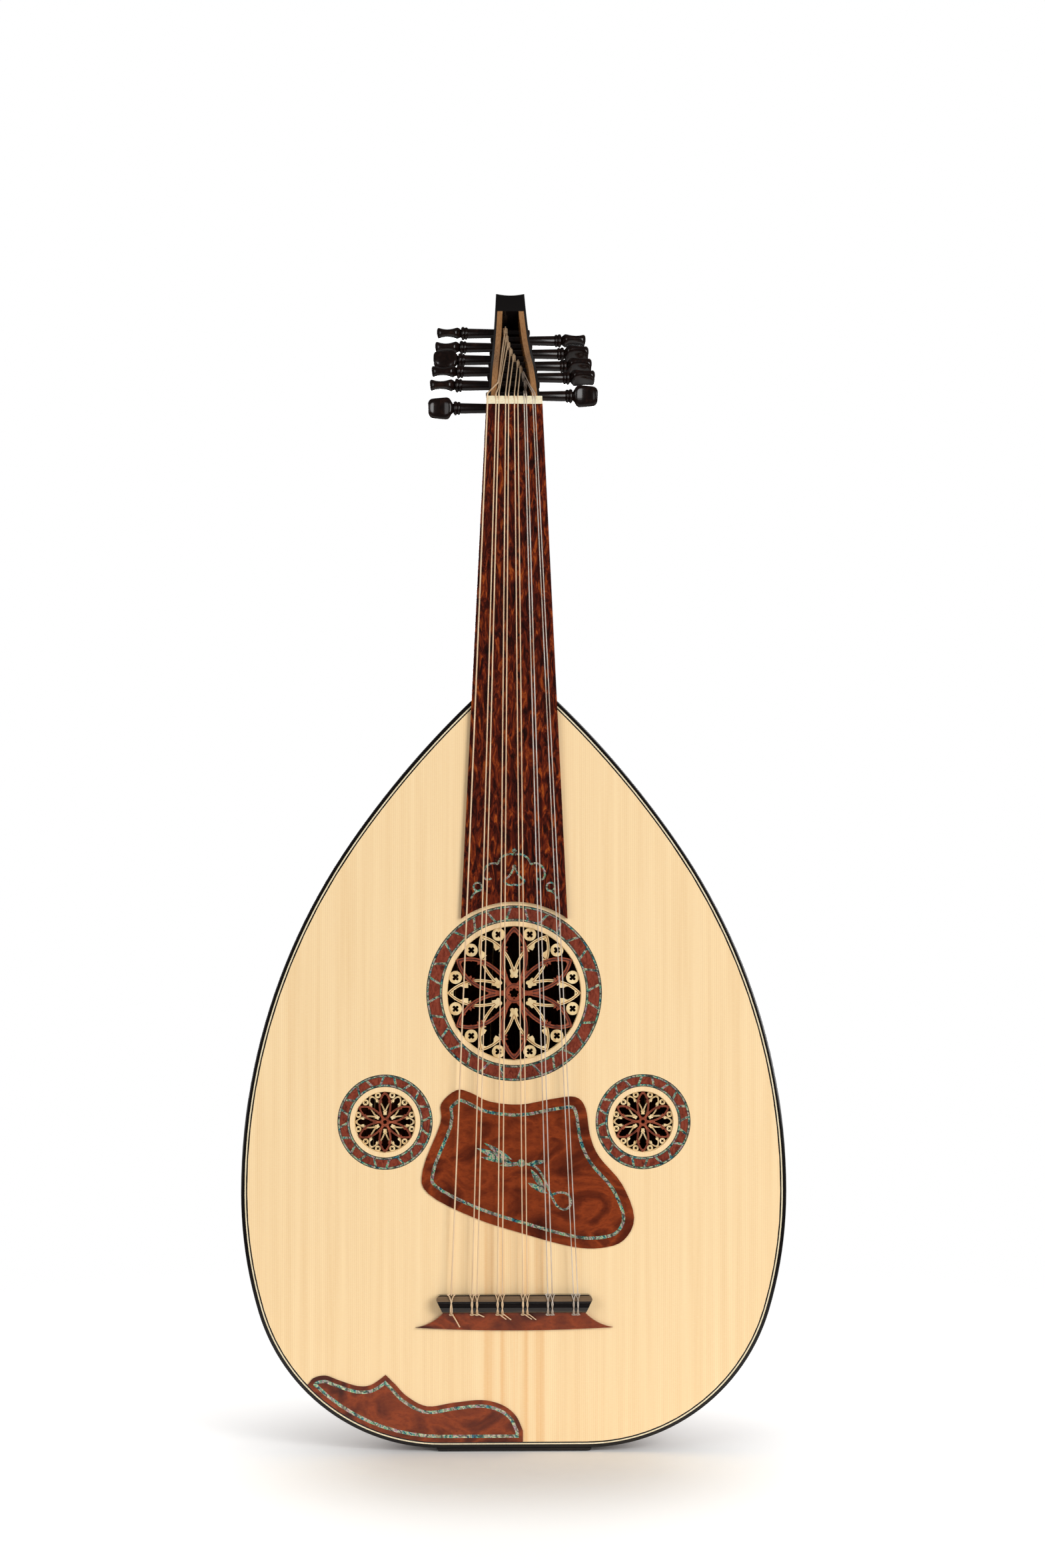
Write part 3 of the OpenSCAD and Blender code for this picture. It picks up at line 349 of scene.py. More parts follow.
def wound_string(name, colour):
    """Floss core overspun with fine wire, lightly tarnished."""
    # The spinning shows as fine rings; it is drawn coarser than the real wire so that it can be seen
    material, tree, shader = start_material(name, roughness=0.34, metallic=0.15)
    rings = add(tree, "ShaderNodeTexWave", {
        "Vector": (grain_place(tree, 40, 40, SPINNING_PITCH), 0), "Scale": WAVE_PERIOD}, bands_direction="Z")
    tone = noise(tree, (6, 6, 40), detail=2.0)
    tone_share = spread(tree, (tone, 0), 0.35, 0.65, 0.0, 0.35)
    shade = mixed(tree, tone_share, colour, linear("#b98c60"))
    relief = add(tree, "ShaderNodeBump", {"Height": (rings, "Fac"), "Strength": 0.35, "Distance": 0.1 * MM})
    feed(tree, shader, base_color=(shade, 2), normal=(relief, 0))
    return material


def clear_nylon(name, colour):
    """Drawn nylon line, clear and slightly milky."""
    # Light passes into it and glows along its edges
    material, tree, shader = start_material(name, roughness=0.16, ior=1.53, transmission_weight=0.35,
                                            coat_weight=0.3, coat_roughness=0.05)
    haze = noise(tree, (3, 3, 30), detail=2.0)
    hues = hues_of(tree, (haze, 0), [(0.35, colour), (0.7, "#cdb49a")])
    feed(tree, shader, base_color=(hues, 0))
    return material


def dark_inlay_and_groove_shade(name, colour):
    """Thin dark line: an inlaid black line on the rosettes, painted groove shade on the roses."""
    # Dark and dull; on the roses it is painted shade, so an engraved line reads as depth
    material, tree, shader = start_material(name, roughness=0.7)
    line_mottle = noise(tree, (1.2, 1.2, 1.2), detail=2.0)
    hues = hues_of(tree, (line_mottle, 0), [
        (0.3, colour), (0.7, scaled(colour, 1.8))])
    feed(tree, shader, base_color=(hues, 0))
    return material


def cheek_finish(name, black, inside):
    """Ebony skin laid over a lighter wood that shows inside the pegbox."""
    # Polished black from outside, warm brown on the faces that look at each other
    material, tree, shader = start_material(name, roughness=0.2, coat_weight=0.5, coat_roughness=0.06)
    place = add(tree, "ShaderNodeTexCoord")
    spot = add(tree, "ShaderNodeSeparateXYZ", {"Vector": (place, "Object")})
    facing = add(tree, "ShaderNodeSeparateXYZ", {"Vector": (place, "Normal")})
    side = add(tree, "ShaderNodeMath", {0: (spot, "X")}, operation="SIGN")
    outward = times(tree, (facing, "X"), (side, 0))
    inner = add(tree, "ShaderNodeMath", {0: (outward, 0), 1: -0.5}, operation="LESS_THAN")
    grain = noise(tree, (3, 24, 24), detail=5.0, roughness=0.6)
    inside_hues = hues_of(tree, (grain, 0), [
        (0.35, scaled(inside, 0.6)), (0.65, inside)])
    skin_hues = hues_of(tree, (grain, 0), [
        (0.4, black), (0.75, "#211a18")])
    shade = mixed(tree, inner, (skin_hues, 0), (inside_hues, 0))
    feed(tree, shader, base_color=(shade, 2))
    return material


def bar_finish(name, black, slope_reflection):
    """Ebony bar with a paler brown band painted on its front slope as a reflection of the light in the
    polish.
    """
    # The slope that the strings cross is painted paler as a reflection, with a soft sheen; the rest is
    # polished black
    material, tree, shader = start_material(name, roughness=0.16, coat_weight=0.5, coat_roughness=0.05)
    parts = place_parts(tree)
    on_slope = spread(tree, (parts, "Z"), (BAR_Z - 4.0) * MM, (BAR_Z - 3.7) * MM)
    off_edge = spread(tree, (parts, "Z"), (BAR_Z - 0.75) * MM, (BAR_Z - 0.6) * MM, 1.0, 0.0)
    # The band is where the paler painted reflection lies
    band = times(tree, (on_slope, 0), (off_edge, 0))
    streaks = noise(tree, (30, 2, 0.9), detail=5.0)
    reflection_hues = hues_of(tree, (streaks, 0), [
        (0.3, slope_reflection), (0.7, scaled(slope_reflection, 0.62))])
    ebony_hues = hues_of(tree, (streaks, 0), [
        (0.4, black), (0.75, "#1d1512")])
    shade = mixed(tree, band, (ebony_hues, 0), (reflection_hues, 0))
    feed(tree, shader, base_color=(shade, 2))
    return material


def pale_floor(name, colour, radius):
    """Matt painted floor that fades out with distance, and is lit with painted light, seen only by the
    camera, away from its middle.
    """
    # Only the ground near the instrument shows, so that it melts into the plain backdrop
    material, tree, shader = start_material(name, roughness=0.9, specular_ior_level=0.0,
                                            emission_color=linear("#ffffff"))
    place = add(tree, "ShaderNodeTexCoord")
    reach = add(tree, "ShaderNodeVectorMath", {0: (place, "Object")}, operation="LENGTH")
    fade = spread(tree, (reach, "Value"), radius * 0.25, radius * 0.95, 1.0, 0.0,
                  interpolation_type="SMOOTHSTEP")
    # Away from the contact shadow the ground is given painted light, seen only by the camera, that washes it
    # out to white
    painted_glow_share = spread(tree, (reach, "Value"), radius * 0.06, radius * 0.3, 0.0, 0.4,
                  interpolation_type="SMOOTHSTEP")
    seen = add(tree, "ShaderNodeLightPath")
    painted_glow = times(tree, (seen, "Is Camera Ray"), (painted_glow_share, 0))
    speckle = add(tree, "ShaderNodeTexNoise", {"Vector": (place, "Object"), "Scale": 60.0})
    hues = hues_of(tree, (speckle, 0), [
        (0.3, colour), (0.7, scaled(colour, 0.985))])
    feed(tree, shader, base_color=(hues, 0), alpha=(fade, 0), emission_strength=(painted_glow, 0))
    return material


# ------------------------------------------------------------------ settings


def colour_setting(name, description, code):
    """A colour in the panel, whose default is an sRGB hex colour."""
    return FloatVectorProperty(name=name, description=description, subtype="COLOR", size=4, min=0, max=1,
                               default=linear(code))


class OudFinish(bpy.types.PropertyGroup):
    """Colours of the woods and strings"""
    spruce: colour_setting("Spruce", "Light wood of the soundboard", "#f9dbaa")
    spruce_line: colour_setting("Spruce line", "Growth lines of the soundboard", "#e2b87e")
    ebony: colour_setting("Ebony", "Edging, bridge bar and pegbox", "#0f0b0a")
    walnut: colour_setting("Walnut", "Staves and neck", "#4a2416")
    burl: colour_setting("Burl", "Guards and bridge foot", "#632610")
    maple: colour_setting("Maple", "Light strips of the bowl", "#e9cf9e")
    gut: colour_setting("Wound string", "Colour of the overspun strings", "#e8cba6")


class OudPegs(bpy.types.PropertyGroup):
    """Sizes of the pegs and of the strings wound on them"""
    knob_length: FloatProperty(name="Knob length", unit="LENGTH",
                               description="From the collar to the end of the thumb-piece",
                               default=KNOB_LENGTH * MM, min=14 * MM, max=20 * MM)
    turns: IntProperty(name="Turns", description="Turns of string on each peg", default=4, min=2, max=6)


class OudStage(bpy.types.PropertyGroup):
    """Light and camera"""
    key: FloatProperty(name="Key light", description="Power of the large side light", default=56.0, min=0,
                       unit="POWER")
    fill: FloatProperty(name="Fill light", description="Power of the opposite light", default=21.0, min=0,
                        unit="POWER")
    sky: FloatProperty(name="Surround", description="Light that the plain surround gives", default=0.34,
                       min=0)
    distance: FloatProperty(name="Camera distance", description="From the soundboard", default=2.2, min=1,
                            unit="LENGTH")


# ------------------------------------------------------------------ shared mesh work


def piece(name, points, faces, material, body="root", smooth_angle=40):
    """A mesh piece with points in mm, smooth except across edges sharper than the given angle."""
    mesh = bpy.data.meshes.new(name)
    mesh.from_pydata([Vector(p) * MM for p in points], [], faces)
    mesh.validate()
    mesh.shade_smooth()
    mesh.set_sharp_from_angle(angle=math.radians(smooth_angle))
    made = bpy.data.objects.new(name, mesh)
    made.data.materials.append(material)
    bpy.context.scene.collection.objects.link(made)
    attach(made, body)
    return made


def loft(sections, first):
    """Points and faces of a closed skin through rings of equal length, numbered from first."""
    count = len(sections[0])
    points = [p for ring in sections for p in ring]
    faces = []
    for k in range(len(sections) - 1):
        for m in range(count):
            n = (m + 1) % count
            faces.append([first + k * count + m, first + k * count + n,
                          first + (k + 1) * count + n, first + (k + 1) * count + m])
    faces.append([first + m for m in reversed(range(count))])
    faces.append([first + (len(sections) - 1) * count + m for m in range(count)])
    return points, faces


def lofts(many):
    """Points and faces of several skins in one mesh."""
    points, faces = [], []
    for sections in many:
        more_points, more_faces = loft(sections, len(points))
        points += more_points
        faces += more_faces
    return points, faces


def rounded(corners, reach, steps=5):
    """Route through corner points, with each inner corner rounded off within a reach of it."""
    route = [corners[0]]
    for before, corner, after in zip(corners, corners[1:], corners[2:]):
        start = corner + (before - corner).normalized() * reach
        end = corner + (after - corner).normalized() * reach
        for k in range(steps + 1):
            t = k / steps
            route.append((1 - t) ** 2 * start + 2 * t * (1 - t) * corner + t * t * end)
    return route + [corners[-1]]


def string_line(name, paths, radius, material, body="root"):
    """Round strings along routes in mm, all of one radius, as one curve piece."""
    curve = bpy.data.curves.new(name, "CURVE")
    curve.dimensions = "3D"
    curve.bevel_depth = radius * MM
    curve.bevel_resolution = 3
    curve.use_fill_caps = True
    for path in paths:
        spline = curve.splines.new("POLY")
        spline.points.add(len(path) - 1)
        for point, place in zip(spline.points, path):
            point.co = (*(Vector(place) * MM), 1)
        spline.use_smooth = True
    made = bpy.data.objects.new(name, curve)
    curve.materials.append(material)
    bpy.context.scene.collection.objects.link(made)
    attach(made, body)
    return made


def smooth_route(keys, steps=6):
    """Points of a smooth route through the given ones."""
    keys = [Vector(k) for k in keys]
    route = []
    for i in range(len(keys) - 1):
        a, b, c, d = keys[max(i - 1, 0)], keys[i], keys[i + 1], keys[min(i + 2, len(keys) - 1)]
        for k in range(steps):
            t = k / steps
            route.append(0.5 * (2 * b + (c - a) * t + (2 * a - 5 * b + 4 * c - d) * t * t
                                + (3 * b - a - 3 * c + d) * t * t * t))
    return route + [keys[-1]]


def arc(centre, r, start, end, steps):
    """Points of an arc in a front view, from one angle to another in degrees."""
    return [(centre[0] + r * math.cos(math.radians(start + (end - start) * k / steps)),
             centre[1] + r * math.sin(math.radians(start + (end - start) * k / steps)))
            for k in range(steps + 1)]


SIDE_C = (BODY_HALF - SIDE_R, WIDE_Z)
SHOULDER_C = (SIDE_C[0] + (SIDE_R - SHOULDER_R) * math.cos(math.radians(SIDE_TURN)),
              SIDE_C[1] + (SIDE_R - SHOULDER_R) * math.sin(math.radians(SIDE_TURN)))
HIP_C = (BODY_HALF - HIP_R, WIDE_Z)
CORNER_C = (HIP_C[0] + (HIP_R - CORNER_R) * math.cos(math.radians(HIP_TURN)),
            HIP_C[1] - (HIP_R - CORNER_R) * math.sin(math.radians(HIP_TURN)))
TAIL_Z = CORNER_C[1] - CORNER_R


def side_outline(inset):
    """Treble side of the body outline from neck to tail, set in by a margin."""
    shoulder = SHOULDER_R - inset
    start = math.degrees(math.asin((-NECK_LENGTH - SHOULDER_C[1]) / shoulder))
    return (arc(SHOULDER_C, shoulder, start, SIDE_TURN, 32)
            + arc(SIDE_C, SIDE_R - inset, SIDE_TURN, 0, 24)[1:]
            + arc(HIP_C, HIP_R - inset, 0, -HIP_TURN, 10)[1:]
            + arc(CORNER_C, CORNER_R - inset, -HIP_TURN, -90, 28)[1:])


def whole_outline(inset):
    """Outline from the treble neck corner round the tail to the bass neck corner."""
    right = side_outline(inset)
    return right + [(-x, z) for x, z in reversed(right)]


def edge_strip(profile):
    """Rings of a strip along the body edge, whose section is drawn as (inset, y) points."""
    lines = [(whole_outline(inset), y) for inset, y in profile]
    return [[(line[k][0], y, line[k][1]) for line, y in lines] for k in range(len(lines[0][0]))]


def flat_strip(near, far):
    """Rings of a flat inlaid strip between two distances from the body edge."""
    return edge_strip([(near, EDGE_DEPTH), (near, PROUD), (far, PROUD), (far, EDGE_DEPTH)])


def finish_nodes(material, slot, *nodes):
    """Gives a finish to parts whose CAD shape stays."""
    for name in nodes:
        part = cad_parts[name]
        part.data.materials.clear()
        part.data.materials.append(material)


# ------------------------------------------------------------------ operators


class OUD_OT_soundboard(bpy.types.Operator):
    """Spruce finish of the book-matched soundboard and its braces"""
    bl_idname = "oud.soundboard"
    bl_label = "Soundboard"

    def execute(self, context):
        finish = context.scene.oud_finish
        board = satin_spruce("spruce_satin_finished", finish.spruce[:], finish.spruce_line[:],
                             linear("#e2a45c"))
        finish_nodes(board, "spruce", "soundboard_left", "soundboard_right")
        bare = satin_spruce("spruce_planed", linear("#e6c590"), linear("#c99d62"), linear("#cf9a58"))
        finish_nodes(bare, "brace_spruce", "soundboard_braces")
        inner = gloss_wood("maple_sawn", [(0.3, "#b98b57"), (0.6, "#d9b27c")], (3, 3, 40),
                           roughness=0.7, coat=0.0)
        finish_nodes(inner, "block_maple", "neck_block", "tail_block")
        return {"FINISHED"}


def ebony(name, black):
    """Ebony, polished to a mirror: near black with barely lighter brown streaks and hard highlights."""
    return gloss_wood(name, [(0.3, black), (0.62, black), (0.8, "#241914")], (2.5, 2.5, 60),
                      roughness=0.14, coat=0.25, wander=0.6, bump=0.02, pores=0.2)


class OUD_OT_edging(bpy.types.Operator):
    """Black binding, light line and tail clasp"""
    bl_idname = "oud.edging"
    bl_label = "Edging"

    def execute(self, context):
        finish = context.scene.oud_finish
        black = ebony("ebony_polished_edge", finish.ebony[:])
        # The outer corner of the binding is eased, as hands would wear it
        outer = edge_strip([(0, BOARD_T), (0, EASE), (0.2, 0.2), (EASE, 0), (BAND_IN, 0),
                            (BAND_IN, EDGE_DEPTH), (SEAT_IN, EDGE_DEPTH), (SEAT_IN, BOARD_T)])
        inner = flat_strip(LINE_IN, INNER_IN)
        binding = piece("edge_binding", *lofts([outer, inner]), black)
        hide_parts("binding")
        cream = gloss_wood("maple_line_bleached", [(0.3, "#d9c7a0"), (0.7, "#f1e6c8")],
                           (1.5, 1.5, 30), roughness=0.3, coat=0.3)
        line = piece("edge_line", *lofts([flat_strip(BAND_IN, LINE_IN)]), cream)
        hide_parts("purfling")
        finish_nodes(black, "ebony_edge", "tail_clasp")
        return {"FINISHED"}


class OUD_OT_bowl(bpy.types.Operator):
    """Nineteen bent staves with a light strip in each seam"""
    bl_idname = "oud.bowl"
    bl_label = "Bowl"

    @staticmethod
    def wall_route(pole):
        """(outer, inner) points of the bowl wall from the neck to the tail's pole."""
        outer, inner = side_outline(RIB_INSET), side_outline(RIB_INSET + RIB_T)
        route = list(zip(outer, inner))
        for k in range(1, 6):
            x = CORNER_C[0] + (pole - CORNER_C[0]) * k / 5
            route.append(((x, TAIL_Z + RIB_INSET), (x, TAIL_Z + RIB_INSET + RIB_T)))
        return route

    @staticmethod
    def spot(r, side, angle, z):
        """Point at a radius in the plane of an angle, shifted to one side of it."""
        return (r * math.cos(angle) - side * math.sin(angle),
                BOARD_T + r * math.sin(angle) + side * math.cos(angle), z)

    def execute(self, context):
        finish = context.scene.oud_finish
        half = math.pi / RIB_COUNT / 2
        staves = []
        for i in range(RIB_COUNT):
            angle = (2 * i + 1) * half
            low_gap = STRIP_T / 2 if i > 0 else 0
            high_gap = STRIP_T / 2 if i < RIB_COUNT - 1 else 0
            rings = []
            for (r_out, z_out), (r_in, z_in) in self.wall_route(RIB_POLE):
                out, within = r_out * math.tan(half), r_in * math.tan(half)
                rings.append([self.spot(r_out, low_gap - out, angle, z_out),
                              self.spot(r_out, 0, angle, z_out),
                              self.spot(r_out, out - high_gap, angle, z_out),
                              self.spot(r_in, within - high_gap, angle, z_in),
                              self.spot(r_in, low_gap - within, angle, z_in)])
            staves.append([ring[::-1] for ring in rings])
        brown = finish.walnut[:]
        walnut = gloss_wood("walnut_bent_and_lacquered", [
            (0.28, "#1c0d08"), (0.5, brown), (0.66, "#6b3a22")], (4.5, 4.5, 150),
            roughness=0.2, coat=0.8, wander=1.2)
        bowl = piece("bowl_staves", *lofts(staves), walnut, smooth_angle=7)
        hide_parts("bowl_ribs")
        strips = []
        for i in range(1, RIB_COUNT):
            angle = 2 * i * half
            rings = []
            for (r_out, z_out), (r_in, z_in) in self.wall_route(STRIP_POLE):
                flush = r_out / math.cos(half) - 0.03
                rings.append([self.spot(r_in, STRIP_T / 2, angle, z_in),
                              self.spot(flush, STRIP_T / 2, angle, z_out),
                              self.spot(flush, -STRIP_T / 2, angle, z_out),
                              self.spot(r_in, -STRIP_T / 2, angle, z_in)])
            strips.append(rings)
        light = gloss_wood("maple_strip_lacquered", [(0.3, "#b8905a"), (0.7, finish.maple[:])],
                           (2, 2, 40), roughness=0.22, coat=0.7)
        seams = piece("bowl_seam_strips", *lofts(strips), light, smooth_angle=30)
        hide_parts("rib_stringing")
        return {"FINISHED"}


def strand_line(half, mid, up_r, low_r, foot):
    """Centre line of one strand of a rose petal that stands along +Y in its own plane."""
    tip = math.degrees(math.acos((up_r - half) / up_r))
    low = math.degrees(math.asin((foot - mid) / low_r))
    return arc((half - up_r, mid), up_r, tip, 0, 16) + arc((half - low_r, mid), low_r, 0, low, 8)[1:]


def line_strip(route, width, y, rose, turn):
    """Rings of a thin strip along a route on a rose, turned about the rose's centre: painted shade of an
    engraved groove on the frets, an inlaid line on the rings.
    """
    x0, z0, scale = rose
    cos_t, sin_t = math.cos(math.radians(turn)), math.sin(math.radians(turn))
    rings = []
    for k, (x, z) in enumerate(route):
        ahead, behind = route[min(k + 1, len(route) - 1)], route[max(k - 1, 0)]
        run = Vector((ahead[0] - behind[0], ahead[1] - behind[1])).normalized()
        ring = []
        for side, depth in ((1, -0.03), (-1, -0.03), (-1, 0.1), (1, 0.1)):
            px, pz = x + side * run.y * width / 2, z - side * run.x * width / 2
            ring.append((x0 + scale * (px * cos_t - pz * sin_t), y + depth,
                         z0 + scale * (px * sin_t + pz * cos_t)))
        rings.append(ring)
    return rings


def petal_groove_shade(petal, width, y, rose, turn, mirror):
    """Painted groove shade along one strand of a petal; mirror is 1 for the right strand and -1 for the left.
    """
    route = [(mirror * x, z) for x, z in strand_line(*petal)]
    return line_strip(route, width, y, rose, turn)[::mirror]


class OUD_OT_roses(bpy.types.Operator):
    """Two layers of fretwork in three roses, with painted shade along their engraved lines"""
    bl_idname = "oud.roses"
    bl_label = "Roses"

    def execute(self, context):
        finish = context.scene.oud_finish
        red = gloss_wood("bubinga_fretted", [
            (0.3, "#5e2413"), (0.5, "#93452a"), (0.7, "#a9583a")], (5, 5, 9),
            roughness=0.42, coat=0.15, wander=1.0)
        finish_nodes(red, "rose_wood", "main_rose_top", "small_roses_top")
        cream = gloss_wood("maple_fretted", [
            (0.3, "#d6b078"), (0.5, "#ecd09a"), (0.75, "#f7e2b6")], (5, 5, 9),
            roughness=0.45, coat=0.15, wander=0.8)
        finish_nodes(cream, "rose_maple", "main_rose_under", "small_roses_under")
        upper, lower = [], []
        for rose in ROSES:
            for a in range(0, 360, 60):
                for mirror in (1, -1):
                    upper.append(petal_groove_shade(UPPER_PETAL, UPPER_GROOVE_SHADE, FRET_FRONT, rose, a, mirror))
                    lower.append(petal_groove_shade(LOWER_PETAL, LOWER_GROOVE_SHADE, FRET_FRONT + FRET_T, rose, a + 30, mirror))
            upper.append(line_strip(arc((0, 0), HUB_R, 0, 360, 48), HUB_GROOVE_SHADE, FRET_FRONT, rose, 0))
        # Dark strips painted along the strands as the shade in their engraved grooves: dark brown on the top
        # layer, tan on the under layer
        brown = dark_inlay_and_groove_shade("painted_groove_shade_dark", linear("#2e0f07"))
        tan = dark_inlay_and_groove_shade("painted_groove_shade_light", linear("#7d4f22"))
        piece("rose_groove_shade_upper", *lofts(upper), brown)
        piece("rose_groove_shade_lower", *lofts(lower), tan)
        return {"FINISHED"}


class OUD_OT_rosettes(bpy.types.Operator):
    """Shell and wood rings round the roses"""
    bl_idname = "oud.rosettes"
    bl_label = "Rosettes"

    def execute(self, context):
        wood = gloss_wood("bubinga_inlaid", [
            (0.3, "#4a1a10"), (0.5, "#7c3524"), (0.7, "#8e4430")], (3, 3, 6),
            roughness=0.24, coat=0.5, wander=1.5)
        finish_nodes(wood, "ring_wood", "rosette_rings")
        shell = polished_shell("abalone_inlaid")
        finish_nodes(shell, "abalone", "rosette_shell", "guard_shell", "fingerboard_shell")
        # Wide black lines on both rims of a ring, and thin ones beside its shell circles
        rims = []
        for (x, z, _), (near, far) in zip(ROSES, RINGS):
            for r, width in ((far + 0.15, 0.5), (near - 0.15, 0.5), (far - 1.2, 0.3), (near + 1.2, 0.3)):
                rims.append(line_strip(arc((0, 0), r, 0, 360, 120), width, 0.0, (x, z, 1.0), 0))
        black = dark_inlay_and_groove_shade("ebony_line_inlaid", linear("#1c1512"))
        piece("rosette_black_lines", *lofts(rims), black)
        return {"FINISHED"}


class OUD_OT_guards(bpy.types.Operator):
    """Burl pickguard and corner guard"""
    bl_idname = "oud.guards"
    bl_label = "Guards"

    def execute(self, context):
        burl = polished_burl("burl_veneer_polished", linear("#3b1208"), context.scene.oud_finish.burl[:],
                             linear("#8a3a18"))
        finish_nodes(burl, "burl", "pickguard", "corner_guard", "bridge_base")
        return {"FINISHED"}


class OUD_OT_neck(bpy.types.Operator):
    """Neck, figured fingerboard and bone nut"""
    bl_idname = "oud.neck"
    bl_label = "Neck"

    def execute(self, context):
        finish = context.scene.oud_finish
        walnut = gloss_wood("walnut_shaped_and_lacquered", [
            (0.28, "#160a07"), (0.5, "#361a11"), (0.68, finish.walnut[:])], (4, 4, 120),
            roughness=0.2, coat=0.8, wander=1.0)
        finish_nodes(walnut, "neck_wood", "neck")
        figured = gloss_wood("snakewood_polished", [
            (0.32, "#140503"), (0.46, "#3a0f08"), (0.56, "#6a240e"),
            (0.66, "#a44c18"), (0.78, "#4a1509")], (3.4, 3.4, 13),
            roughness=0.17, coat=0.35, wander=1.4, pores=0.6)
        finish_nodes(figured, "snakewood", "fingerboard")
        finish_nodes(polished_bone("bone_filed_and_polished"), "bone", "nut")
        return {"FINISHED"}


class OUD_OT_pegbox(bpy.types.Operator):
    """Black pegbox with light strips on its edges"""
    bl_idname = "oud.pegbox"
    bl_label = "Pegbox"

    def execute(self, context):
        finish = context.scene.oud_finish
        cheek = cheek_finish("ebony_skin_over_walnut", finish.ebony[:], linear("#a8713c"))
        finish_nodes(cheek, "ebony", "pegbox_left_wall", "pegbox_right_wall")
        black = ebony("ebony_polished_pegbox", finish.ebony[:])
        finish_nodes(black, "ebony", "pegbox_back", "pegbox_head")
        strip = gloss_wood("maple_edging_polished", [(0.3, "#8f5f33"), (0.7, "#c69260")],
                           (1.5, 14, 14), roughness=0.25, coat=0.5)
        finish_nodes(strip, "maple", "pegbox_edging")
        # The paler brown on the front slope of the bar is a painted reflection
        bar = bar_finish("ebony_bar_with_painted_reflection", finish.ebony[:], linear("#80684f"))
        finish_nodes(bar, "ebony", "bridge_bar")
        return {"FINISHED"}


def peg_frame(i):
    """Turns a shape drawn along +Z so that it lies on peg i's axis, with its end at the knob."""
    lo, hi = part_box(f"winding_{i + 1}")
    side = -1 if i % 2 == 0 else 1
    middle = Vector((0, (lo[1] + hi[1]) / 2 / MM, (lo[2] + hi[2]) / 2 / MM))
    return Matrix.Translation(middle) @ Matrix.Rotation(side * math.pi / 2, 4, "Y")


def turned(profile, sides=40):
    """Rings of a turned shape, from (height, radius) points."""
    return [[(r * math.cos(2 * math.pi * m / sides), r * math.sin(2 * math.pi * m / sides), h)
             for m in range(sides)] for h, r in profile]


def bead(height, centre_r, r):
    """Half-round bead on a turned shape, as (height, radius) points."""
    return [(height + r * math.sin(math.radians(a)), centre_r + r * math.cos(math.radians(a)))
            for a in range(-75, 76, 15)]


# Thumb-piece: height from the collar, half width and half thickness
KNOB_KEYS = ((-1.6, 2.2, 2.2), (0.0, 2.7, 2.7), (1.2, 4.4, 3.5), (2.6, 6.5, 4.1), (4.2, 7.35, 3.7),
             (6.6, 7.3, 3.05), (9.8, 7.0, 2.75), (12.8, 6.7, 3.05), (14.8, 6.3, 3.6), (16.0, 5.4, 3.8),
             (16.8, 3.9, 2.9), (17.0, 2.0, 1.4))


def knob_rings(length, turn, base):
    """Rings of a thumb-piece that is broad one way and dished the other."""
    keys = smooth_route([Vector(k) for k in KNOB_KEYS], 4)
    rings = []
    spin = math.radians(turn)
    for height, wide, thick in keys:
        ring = []
        for m in range(32):
            a = 2 * math.pi * m / 32
            cos_a, sin_a = math.cos(a), math.sin(a)
            # A squarer oval than an ellipse
            x = wide * math.copysign(abs(cos_a) ** 0.75, cos_a)
            y = thick * math.copysign(abs(sin_a) ** 0.75, sin_a)
            ring.append((x * math.cos(spin) - y * math.sin(spin), x * math.sin(spin) + y * math.cos(spin),
                         base + height * length / KNOB_LENGTH))
        rings.append(ring)
    return rings


